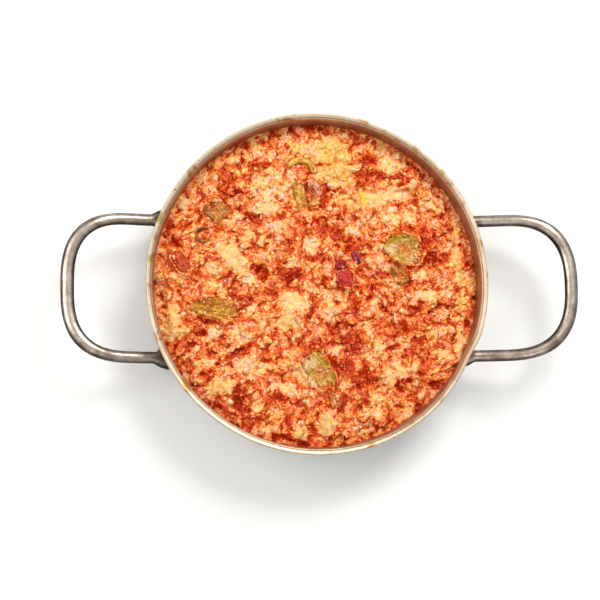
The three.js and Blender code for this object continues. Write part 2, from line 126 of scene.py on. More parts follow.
def addPiece(name, points, quads, tris, material, attributes=None):
    # Puts arrays of points (mm) and faces into a smooth mesh that rides on the body
    mesh = bpy.data.meshes.new(name)
    points = np.asarray(points, float).reshape(-1, 3) * mm
    loops = np.concatenate([quads.ravel(), tris.ravel()]).astype(np.int32)
    sizes = np.concatenate([np.full(len(quads), 4), np.full(len(tris), 3)]).astype(np.int32)
    starts = np.concatenate([[0], np.cumsum(sizes)[:-1]]).astype(np.int32)
    mesh.vertices.add(len(points))
    mesh.vertices.foreach_set("co", points.astype(np.float32).ravel())
    mesh.loops.add(len(loops))
    mesh.loops.foreach_set("vertex_index", loops)
    mesh.polygons.add(len(sizes))
    mesh.polygons.foreach_set("loop_start", starts)
    mesh.polygons.foreach_set("loop_total", sizes)
    mesh.polygons.foreach_set("use_smooth", np.ones(len(sizes), bool))
    for key, values in (attributes or {}).items():
        layer = mesh.attributes.new(key, "FLOAT", "POINT")
        layer.data.foreach_set("value", np.asarray(values, np.float32).ravel())
    mesh.update(calc_edges=True)
    mesh.validate()
    piece = bpy.data.objects.new(name, mesh)
    bpy.context.collection.objects.link(piece)
    mesh.materials.append(material)
    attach(piece, "root")
    print(f"{name}: {len(quads) * 2 + len(tris)} triangles")
    return piece


def withPoles(rings):
    # Closes an array of rings at both ends with the middle of the first and of the last ring
    return np.concatenate([rings[0].mean(0)[None], rings.reshape(-1, 3), rings[-1].mean(0)[None]])


def perRing(values, columns):
    # A value for each ring spread over its points, with one for each pole
    return np.concatenate([values[:1], np.repeat(values, columns), values[-1:]])


# Materials from nodes

def hexColour(text):
    # The linear colour of a screen colour such as "#e07030"
    screen = np.array([int(text[k:k + 2], 16) / 255 for k in (1, 3, 5)])
    linear = np.where(screen <= 0.04045, screen / 12.92, ((screen + 0.055) / 1.055) ** 2.4)
    return (*linear.tolist(), 1.0)


def node(tree, kind, inputs=None, **settings):
    # Adds a node, sets its options, then links or sets its inputs
    made = tree.nodes.new("ShaderNode" + kind)
    for key, value in settings.items():
        setattr(made, key, value)
    for key, value in (inputs or {}).items():
        if isinstance(value, bpy.types.NodeSocket):
            tree.links.new(value, made.inputs[key])
        else:
            made.inputs[key].default_value = value
    return made


def newMaterial(name, **settings):
    # A material whose shader has the given values, its socket names written without spaces
    material = bpy.data.materials.new(name)
    material.use_nodes = True
    shader = material.node_tree.nodes["Principled BSDF"]
    for socket in shader.inputs:
        key = socket.name.replace(" ", "")
        if key in settings:
            socket.default_value = settings[key]
    return material, material.node_tree, shader


def place(tree):
    # The position on the piece, in metres
    return node(tree, "TexCoord").outputs["Object"]


def stretched(tree, scale):
    # The position with each axis scaled: a scale under 1 draws a pattern out along its axis
    return node(tree, "Mapping", {"Vector": place(tree), "Scale": scale}).outputs[0]


def noiseOf(tree, size, detail=3.0, roughness=0.6, vector=None, distortion=0.0):
    # Noise about 0.5, in lumps of about a size in mm
    inputs = {"Vector": vector or place(tree), "Scale": 1 / (size * mm), "Detail": detail,
              "Roughness": roughness, "Distortion": distortion}
    return node(tree, "TexNoise", inputs).outputs["Fac"]


def calc(tree, operation, first, second=0.0, clamp=False):
    # One step of arithmetic, held from 0 to 1 if clamped
    return node(tree, "Math", {0: first, 1: second}, operation=operation, use_clamp=clamp).outputs[0]


def spread(tree, value, low, high, outLow=0.0, outHigh=1.0):
    # Stretches the range from low to high to that from outLow to outHigh, held at its ends
    inputs = {"Value": value, "From Min": low, "From Max": high, "To Min": outLow, "To Max": outHigh}
    return node(tree, "MapRange", inputs).outputs[0]


def rampOf(tree, factor, stops):
    # Colours at places from 0 to 1
    made = node(tree, "ValToRGB", {"Fac": factor})
    elements = made.color_ramp.elements
    while len(elements) < len(stops):
        elements.new(0.5)
    for element, (position, colour) in zip(elements, stops):
        element.position = position
        element.color = hexColour(colour)
    return made.outputs["Color"]


def mixed(tree, factor, first, second, mode="MIX"):
    # The second colour over the first by a factor
    made = node(tree, "Mix", {0: factor, 6: first, 7: second}, data_type="RGBA", blend_type=mode)
    return made.outputs[2]


def read(tree, name):
    # A number that the mesh holds for each of its points
    return node(tree, "Attribute", attribute_name=name).outputs["Fac"]


def bumpOf(tree, height, distance, strength):
    # Fine relief whose full height is a distance in mm
    inputs = {"Height": height, "Distance": distance * mm, "Strength": strength}
    return node(tree, "Bump", inputs).outputs[0]


# Pan

pan = {
    "rim": 89.84, "height": 40.0, "sheet": 2.6, "lip": 3.44, "lipFall": 0.9, "flare": np.radians(5),
    "fillet": 9.0, "columns": 480, "lipDepth": 3.4, "bead": 0.8,
    "dent": {"start": 305, "deepest": 333.5, "end": 342, "depth": 1.7, "fadeFrom": 28},
}


def innerRadius(z):
    # The lip's inner radius, less the drop below the rim times the tangent of the flare
    return pan["rim"] - pan["lip"] - (pan["height"] - z) * np.tan(pan["flare"])


def dentAt(bearing, z):
    # Inward push: a ramp to the power 1.6 up to the fold, a quick return, fading down the wall
    dent = pan["dent"]
    ramp = np.clip((bearing - dent["start"]) / (dent["deepest"] - dent["start"]), 0, 1)
    back = np.clip((dent["end"] - bearing) / (dent["end"] - dent["deepest"]), 0, 1)
    push = np.minimum(ramp ** 1.6, back)
    return dent["depth"] * push * smoothStep(z, dent["fadeFrom"], pan["height"])


def arc(centreR, centreZ, radius, start, end, steps):
    # Points of a circle in radius and height, from one angle to another in degrees
    angle = np.radians(np.linspace(start, end, steps))
    return np.stack([centreR + radius * np.cos(angle), centreZ + radius * np.sin(angle)], -1)


def panProfile():
    # Radius and height from under the floor, up the outside, over the lip and down the inside:
    # straight stretches joined by arcs
    sheet, fillet, height = pan["sheet"], pan["fillet"], pan["height"]
    flareDeg = np.degrees(pan["flare"])
    centreZ = sheet + fillet
    centreR = innerRadius(centreZ) - fillet / np.cos(pan["flare"])
    outward = sheet / np.cos(pan["flare"])
    underLip = height - pan["lipDepth"]
    gap = 1.0  # between a straight stretch and the arc beside it
    wallZ = np.linspace(centreZ + gap, underLip - 0.6, 22)
    bead = pan["bead"]
    floorR = np.linspace(2, centreR - gap, 26)
    lipR = np.linspace(pan["rim"] - 2 * bead - 0.1, pan["rim"] - pan["lip"] + 0.9, 7)
    lipT = (lipR - lipR[0]) / (lipR[-1] - lipR[0])
    lipZ = height - 0.28 - pan["lipFall"] * 0.75 * lipT + 0.12 * np.sin(np.pi * lipT)
    roll = 1.0  # radius of the lip's inner edge
    rolled = arc(lipR[-1] + 0.1, lipZ[-1] - roll, roll, 95, 178, 7)
    beadArc = arc(pan["rim"] - bead, height - bead, bead, -20, 118, 9)
    skirt = np.array([[pan["rim"] - 0.02, height - 2.0], [pan["rim"] - 0.25, height - 2.7]])
    under = arc(pan["rim"] - 0.75, underLip + 0.75, 0.45, -10, -85, 4)
    outsideWall = np.stack([innerRadius(wallZ) + outward, wallZ], -1)
    insideZ = np.linspace(lipZ[-1] - 1.4, centreZ + gap, 34)
    insideWall = np.stack([innerRadius(insideZ), insideZ], -1)
    floor = np.stack([floorR, np.zeros_like(floorR)], -1)
    return np.concatenate([
        floor,
        arc(centreR, centreZ, sheet + fillet, -88, -flareDeg - 1, 14),
        outsideWall,
        [[innerRadius(underLip) + outward + 0.1, underLip - 0.15]],
        under[::-1], skirt[::-1], beadArc,
        np.stack([lipR, lipZ], -1), rolled, insideWall,
        arc(centreR, centreZ, fillet, -flareDeg - 1, -88, 12),
        (floor + [0, sheet])[::-1],
    ])


def makePan(material):
    # The profile turned about the axis, each point pushed in by the dent
    profile = panProfile()
    bearing = np.linspace(0, 2 * np.pi, pan["columns"], endpoint=False)
    radius = profile[:, :1] - dentAt(np.degrees(bearing)[None], profile[:, 1:])
    height = np.broadcast_to(profile[:, 1:], radius.shape)
    wobble = 0.12 * softNoise(radius * np.cos(bearing), radius * np.sin(bearing), 24.0, 5)
    radius = radius - np.abs(wobble) * smoothStep(height, 20, 40)
    rings = np.stack([radius * np.cos(bearing), radius * np.sin(bearing), height], -1)
    quads, tris = ringFaces(len(profile), pan["columns"])
    top = np.argmax(profile[:, 1])
    inside = (np.arange(len(profile)) > top).astype(float)
    attributes = {"inside": perRing(inside, pan["columns"])}
    piece = addPiece("panBody", withPoles(rings), quads, tris, material, attributes)
    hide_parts("pan")


def aluminiumMaterial():
    # Dull spun metal: two tones in clouds and turned lines, then a brown tinge, grease, spots and specks
    look = {
        "clean": "#ddceb9", "dull": "#bea98e", "tinge": "#b58e70", "outer": "#cdc9c3", "worn": "#a5a099",
        "grease": "#a0562a", "mauve": "#a07c68", "olive": "#a98a2c", "crust": "#a8602a", "speck": "#4a3220",
    }
    material, tree, shader = newMaterial("panAluminium", CoatWeight=0.1, CoatRoughness=0.25)
    x, y, z = node(tree, "SeparateXYZ", {0: place(tree)}).outputs
    squared = calc(tree, "ADD", calc(tree, "MULTIPLY", x, x), calc(tree, "MULTIPLY", y, y))
    radius = calc(tree, "SQRT", squared)
    turning = node(tree, "TexNoise", {"W": calc(tree, "MULTIPLY", radius, 2600.0), "Detail": 2.0},
                   noise_dimensions="1D").outputs["Fac"]
    rings = node(tree, "TexNoise", {"W": calc(tree, "MULTIPLY", z, 2200.0), "Detail": 2.0},
                 noise_dimensions="1D").outputs["Fac"]
    wide = noiseOf(tree, 14, 5, 0.6, vector=stretched(tree, (1, 1, 3.5)))
    cloud = calc(tree, "ADD", calc(tree, "MULTIPLY", wide, 0.6), calc(tree, "MULTIPLY", rings, 0.4))
    tone = spread(tree, cloud, 0.36, 0.68)
    metal = mixed(tree, tone, hexColour(look["clean"]), hexColour(look["dull"]))
    # Below the lip the wall outside is plain grey metal
    bare = mixed(tree, tone, hexColour(look["outer"]), hexColour(look["worn"]))
    below = spread(tree, z, 0.0382, 0.0345)
    outside = calc(tree, "MULTIPLY", calc(tree, "SUBTRACT", 1.0, read(tree, "inside")), below)
    metal = mixed(tree, outside, metal, bare)
    tree.links.new(spread(tree, outside, 0.0, 1.0, 0.75, 0.95), shader.inputs["Metallic"])
    # Inside the rolled edge the metal is tinged brown, unevenly
    edge = calc(tree, "ADD", radius, calc(tree, "MULTIPLY", noiseOf(tree, 5, 4), 0.0016))
    tinge = calc(tree, "MULTIPLY", spread(tree, edge, 0.0886, 0.0866), read(tree, "inside"))
    metal = mixed(tree, tinge, metal, hexColour(look["tinge"]))
    # Grease on the wall inside, thickest just above the food, and olive patches on the lip
    low = spread(tree, z, 0.0392, 0.0300)
    drips = spread(tree, noiseOf(tree, 3.2, 5, 0.65, vector=stretched(tree, (1, 1, 0.25))), 0.32, 0.66)
    marks = spread(tree, noiseOf(tree, 2.2, 4, 0.7), 0.35, 0.65, 0.75, 1.1)
    greaseAmount = calc(tree, "MULTIPLY", calc(tree, "MULTIPLY", read(tree, "inside"), low),
                        calc(tree, "MULTIPLY", calc(tree, "ADD", drips, 0.4), marks), True)
    greaseTone = mixed(tree, spread(tree, noiseOf(tree, 7, 4, 0.65), 0.42, 0.62), hexColour(look["grease"]),
                       hexColour(look["mauve"]))
    stained = mixed(tree, greaseAmount, metal, greaseTone)
    atLip = spread(tree, z, 0.0375, 0.0388)
    patches = spread(tree, noiseOf(tree, 8, 4, distortion=0.4), 0.56, 0.66)
    oliveAmount = calc(tree, "MULTIPLY", calc(tree, "MULTIPLY", atLip, patches), 0.85)
    patchTone = mixed(tree, spread(tree, noiseOf(tree, 5, 2), 0.46, 0.58), hexColour(look["olive"]),
                      hexColour(look["crust"]))
    stained = mixed(tree, oliveAmount, stained, patchTone)
    specks = spread(tree, noiseOf(tree, 0.9, 1), 0.67, 0.72)
    speckZone = spread(tree, noiseOf(tree, 12, 2), 0.42, 0.56)
    speckZone = calc(tree, "MULTIPLY", speckZone, spread(tree, z, 0.028, 0.036))
    speckAmount = calc(tree, "MULTIPLY", specks, speckZone)
    colour = mixed(tree, speckAmount, stained, hexColour(look["speck"]))
    tree.links.new(colour, shader.inputs["Base Color"])
    dirt = calc(tree, "ADD", calc(tree, "MULTIPLY", greaseAmount, 0.12),
                calc(tree, "MULTIPLY", speckAmount, 0.3))
    wear = spread(tree, noiseOf(tree, 3, 5), 0.3, 0.7, 0.38, 0.54)
    wear = calc(tree, "SUBTRACT", wear, calc(tree, "MULTIPLY", outside, 0.1))
    tree.links.new(calc(tree, "ADD", wear, dirt), shader.inputs["Roughness"])
    lines = calc(tree, "ADD", calc(tree, "MULTIPLY", turning, 0.5), calc(tree, "MULTIPLY", rings, 0.5))
    scuffs = noiseOf(tree, 1.4, 4, vector=stretched(tree, (1, 1, 2.5)))
    height = calc(tree, "ADD", calc(tree, "MULTIPLY", lines, 0.35), scuffs)
    tree.links.new(bumpOf(tree, height, 0.07, 0.8), shader.inputs["Normal"])
    return material


# Handles and rivets

handle = {
    "rod": 6.2, "span": 72.6, "shift": -1.2, "legHeight": 21.0, "gripHeight": 31.0,
    "wider": 1.15, "flatter": 0.87,  # the grip's section, against the rod's
    "tabWidth": 12.0, "tabThickness": 2.4, "tabLow": 8.0, "gap": 0.3,
    "tabRound": 6.0, "tabFrom": 8.5, "tabTo": 17.0,  # from an end: its rounding, and where tab turns to rod
    "legAway": 5.0, "bendBelow": 5.0,  # where a leg starts from the wall, and a tab's top below the leg
    "sides": {
        "handle_left": {"side": -1, "reach": 129.9, "bendFrom": 95.0, "squareness": 2.8},
        "handle_right": {"side": 1, "reach": 136.9, "bendFrom": 101.0, "squareness": 2.6},
    },
}
rivet = {"height": 13.5, "radius": 3.7, "rise": 2.0, "columns": 40}


def outerRadius(z):
    # The inside's radius and the slanting sheet's thickness
    return innerRadius(z) + pan["sheet"] / np.cos(pan["flare"])


def wallPlace(side, y, height):
    # On the outside of the wall at a height: the point, and the directions along it, up it and out of it
    bearing = np.arctan2(y, side * np.sqrt(outerRadius(height) ** 2 - y ** 2))
    level = np.array([np.cos(bearing), np.sin(bearing), 0])
    along = np.array([-np.sin(bearing), np.cos(bearing), 0])
    out = level * np.cos(pan["flare"]) - np.array([0, 0, np.sin(pan["flare"])])
    return level * outerRadius(height) + [0, 0, height], along, np.cross(out, along), out


def evenly(points, count):
    # The same path with points a steady distance apart
    steps = np.linalg.norm(np.diff(points, axis=0), axis=1)
    far = np.concatenate([[0], np.cumsum(steps)])
    wanted = np.linspace(0, far[-1], count)
    return np.stack([np.interp(wanted, far, points[:, k]) for k in range(3)], -1)


def handlePath(sizes):
    # Up one tab, round a small bend into the leg, round the grip (a superellipse), and down the other tab
    side, reach, bendFrom = sizes["side"], sizes["reach"], sizes["bendFrom"]
    half = handle["span"] / 2
    middle = handle["gap"] + handle["tabThickness"] / 2
    wall = outerRadius(handle["legHeight"]) + middle
    angle = np.linspace(np.pi / 2, -np.pi / 2, 160)
    cosine = np.abs(np.cos(angle)) ** (2 / sizes["squareness"])
    sine = np.sign(angle) * np.abs(np.sin(angle)) ** (2 / sizes["squareness"])
    grip = np.stack([bendFrom + (reach - bendFrom) * cosine, half * sine], -1)
    legStart = np.sqrt(wall ** 2 - (side * grip[[0, -1], 1] + handle["shift"]) ** 2)
    leg = np.linspace(0, 1, 24)[:, None]
    away = handle["legAway"]
    first = np.array([legStart[0] + away, half]) * (1 - leg) + np.array([bendFrom, half]) * leg
    last = np.array([bendFrom, -half]) * (1 - leg) + np.array([legStart[1] + away, -half]) * leg
    flat = np.concatenate([first[:-1], grip, last[1:]])
    lift = handle["gripHeight"] - handle["legHeight"]
    rise = handle["legHeight"] + lift * smoothStep(flat[:, 0], wall - 10, reach - 6)
    route = np.stack([side * flat[:, 0], side * flat[:, 1] + handle["shift"], rise], -1)
    ends = []
    for y, legEnd in ((half, route[0]), (-half, route[-1])):
        foot, _, up, out = wallPlace(side, side * y + handle["shift"], handle["legHeight"])
        foot = foot + out * middle
        drop = np.linspace(handle["tabLow"] - handle["legHeight"], -handle["bendBelow"], 16)[:, None]
        straight = foot + up * drop
        corner = foot - up * 0.4
        t = np.linspace(0, 1, 22)[1:-1, None]
        bend = straight[-1] * (1 - t) ** 2 + 2 * corner * t * (1 - t) + legEnd * t ** 2
        ends.append(np.concatenate([straight, bend]))
    return np.concatenate([ends[0], route, ends[1][::-1]])


def makeHandle(name, material):
    # An oval section carried along the path. It is round on the legs, wide and flat on the tabs, where it
    # narrows to a round end by sqrt(1 - t^2), and a little flattened on the grip.
    sizes = handle["sides"][name]
    path = evenly(handlePath(sizes), 420)
    for _ in range(5):
        path[1:-1] = (path[:-2] + 2 * path[1:-1] + path[2:]) / 4
    tangent = np.gradient(path, axis=0)
    tangent /= np.linalg.norm(tangent, axis=1, keepdims=True)
    far = np.concatenate([[0], np.cumsum(np.linalg.norm(np.diff(path, axis=0), axis=1))])
    fromEnd = np.minimum(far, far[-1] - far)
    onTab = 1 - smoothStep(fromEnd, handle["tabFrom"], handle["tabTo"])
    level = np.cross([0, 0, 1], tangent)
    bearing = np.arctan2(path[:, 1], path[:, 0])
    alongWall = np.stack([-np.sin(bearing), np.cos(bearing), np.zeros(len(path))], -1)
    onLegs = [40, -40]
    firstSense, lastSense = np.sign(np.sum(alongWall[onLegs] * level[onLegs], axis=1))
    sense = np.where(far < far[-1] / 2, firstSense, lastSense)[:, None]
    sideways = alongWall * sense * onTab[:, None] + level * (1 - onTab[:, None])
    sideways -= tangent * np.sum(sideways * tangent, axis=1, keepdims=True)
    sideways /= np.linalg.norm(sideways, axis=1, keepdims=True)
    normal = np.cross(tangent, sideways)
    gripped = smoothStep(np.abs(path[:, 0]), sizes["bendFrom"] + 12, sizes["reach"] - 2)
    rod = handle["rod"] / 2
    half = rod * (1 + (handle["wider"] - 1) * gripped) * (1 - onTab) + handle["tabWidth"] / 2 * onTab
    thick = rod * (1 + (handle["flatter"] - 1) * gripped) * (1 - onTab) + handle["tabThickness"] / 2 * onTab
    roundEnd = np.sqrt(np.clip(1 - (1 - np.clip(fromEnd / handle["tabRound"], 0, 1)) ** 2, 0.0004, 1))
    half = half * roundEnd
    thick = thick * (0.55 + 0.45 * np.clip(fromEnd / 1.2, 0, 1))
    columns = 36
    around = np.linspace(0, 2 * np.pi, columns, endpoint=False)
    power = 1 - 0.45 * onTab[:, None]
    across = np.sign(np.cos(around)) * np.abs(np.cos(around)) ** power
    over = np.sign(np.sin(around)) * np.abs(np.sin(around)) ** power
    rings = (path[:, None] + sideways[:, None] * (half[:, None] * across)[..., None]
             + normal[:, None] * (thick[:, None] * over)[..., None])
    quads, tris = ringFaces(len(path), columns)
    attributes = {
        "along": perRing(far, columns),
        "around": np.concatenate([[0], np.tile(np.cos(around), len(path)), [0]]),
    }
    piece = addPiece(name + "Rod", withPoles(rings), quads, tris, material, attributes)
    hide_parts(name)


def makeRivets(material):
    # A flat dome for each rivet: height falls as the square root of 1 - radius^2, with a small rounded foot
    columns = rivet["columns"]
    around = np.linspace(0, 2 * np.pi, columns, endpoint=False)
    t = np.linspace(0, 1, 14)[1:]
    dome = t[:-1] * np.pi / 2
    radius = rivet["radius"] * np.concatenate([[0.6, 0.96], np.cos(dome)])
    edge = 0.25  # height of the head's upright edge
    height = np.concatenate([[0.0, 0.02], edge + (rivet["rise"] - edge) * np.sin(dome) ** 0.8])
    base = 2 * handle["gap"] + handle["tabThickness"] - edge
    allPoints = []
    for sizes in handle["sides"].values():
        for sign in (1, -1):
            y = handle["shift"] + sign * handle["span"] / 2
            foot, along, up, out = wallPlace(sizes["side"], y, handle["legHeight"])
            foot = foot + up * (rivet["height"] - handle["legHeight"])
            ring = (along[None, None] * (radius[:, None] * np.cos(around))[..., None]
                    + up[None, None] * (radius[:, None] * np.sin(around))[..., None])
            allPoints.append(withPoles(foot + ring + out * (base + height)[:, None, None]))
    quads, tris = ringFaces(len(radius), columns)
    quads, tris = repeatFaces(quads, tris, len(allPoints), len(allPoints[0]))
    piece = addPiece("rivetHeads", np.concatenate(allPoints), quads, tris, material, None)
    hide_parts("rivet_1", "rivet_2", "rivet_3", "rivet_4")


def steelMaterial(name, onRod):
    # Clouded bright and dull and tarnished in patches, with a painted dark reflection along both sides of a
    # rod, and small dark specks
    # "side" is the colour of the painted dark reflection along a rod's sides
    look = {
        "bright": "#cfc4bb", "dull": "#9a8a7e", "tarnish": "#625044", "side": "#2c221d", "speck": "#2a1f19",
    }
    material, tree, shader = newMaterial(name, Metallic=1.0)
    cloud = noiseOf(tree, 9, 5, 0.65)
    tone = spread(tree, cloud, 0.38, 0.66)
    colour = mixed(tree, tone, hexColour(look["bright"]), hexColour(look["dull"]))
    tarnish = calc(tree, "MULTIPLY", spread(tree, noiseOf(tree, 14, 4), 0.5, 0.68), 0.75)
    colour = mixed(tree, tarnish, colour, hexColour(look["tarnish"]))
    brushed = place(tree)
    if onRod:
        around = read(tree, "around")
        along = calc(tree, "MULTIPLY", read(tree, "along"), 0.00008)
        aside = calc(tree, "MULTIPLY", around, 0.003)
        brushed = node(tree, "CombineXYZ", {0: along, 1: aside, 2: 0.0}).outputs[0]
        # Painted dark reflection: both sides of the rod are coloured near black, standing in for dark
        # surroundings reflected there
        sideways = calc(tree, "ADD", calc(tree, "ABSOLUTE", around), calc(tree, "MULTIPLY", cloud, 0.25))
        colour = mixed(tree, spread(tree, sideways, 0.7, 1.0, 0.0, 0.95), colour, hexColour(look["side"]))
    streaks = noiseOf(tree, 0.35, 3, vector=brushed)
    specks = spread(tree, noiseOf(tree, 0.7, 1), 0.68, 0.73)
    colour = mixed(tree, specks, colour, hexColour(look["speck"]))
    tree.links.new(colour, shader.inputs["Base Color"])
    rough = spread(tree, streaks, 0.3, 0.7, 0.24, 0.38)
    for mark, rougher in ((tarnish, 0.16), (specks, 0.3)):
        rough = calc(tree, "ADD", rough, calc(tree, "MULTIPLY", mark, rougher))
    tree.links.new(rough, shader.inputs["Roughness"])
    height = calc(tree, "ADD", streaks, calc(tree, "MULTIPLY", noiseOf(tree, 2.2, 3), 0.8))
    tree.links.new(bumpOf(tree, height, 0.05, 0.6), shader.inputs["Normal"])
    return material


aluminium = aluminiumMaterial()
steel = steelMaterial("handleSteel", True)
rivetSteel = steelMaterial("rivetSteel", False)
makePan(aluminium)
for handleName in handle["sides"]:
    makeHandle(handleName, steel)
makeRivets(rivetSteel)
print("pan, handles and rivets made")


# Food: the bed of scrambled egg and tomato

food = {
    "edge": 28.4, "crown": 30.8, "shoulder": 16.0, "gridLines": 296,
    "clumps": {"size": 6.4, "rise": 1.5, "seed": 31},  # whole curds, each of its own shade
    "curds": {"size": 3.3, "rise": 1.1, "seed": 47},
    "nodules": {"size": 3.0, "rise": 1.5, "seed": 59},  # creased grain within the curds
    "grain": {"size": 1.5, "rise": 0.6, "seed": 67},
    "smoothing": 0.62,  # how much of the fine relief a smooth lump of egg loses
    # The slope's reddening is partly juice soaked in and partly painted shade on the sides of lumps
    "slopeSoak": 0.26, "slopeMean": 0.14,  # how much redder a slope of 1 is, and what that is made up with
}

# The largest lumps of egg: place, radius across, rise
eggLumps = [
    (15, 65, 12.5, 2.4), (30, 41.5, 13, 2.6), (43, 63, 8.5, 2.2), (-45, 15, 8, 2.2), (-14, -13.5, 10, 2.3),
    (-74, -20, 7.5, 2), (-48, 62, 9, 2), (-35, 42, 8, 2.2), (-8.5, 19, 9, 2.3), (-46, -52, 10.5, 2.6),
    (70, -38, 8.5, 2.2), (55, -6, 9.5, 2.4), (40, -46.5, 9, 2.4), (4, -71, 8.5, 2),
]
# Grades of lesser lumps: how many, radius from and to, flatness, seed
lesserLumps = [(52, 4.2, 6.8, 0.38, 23), (60, 2.3, 3.8, 0.65, 37)]

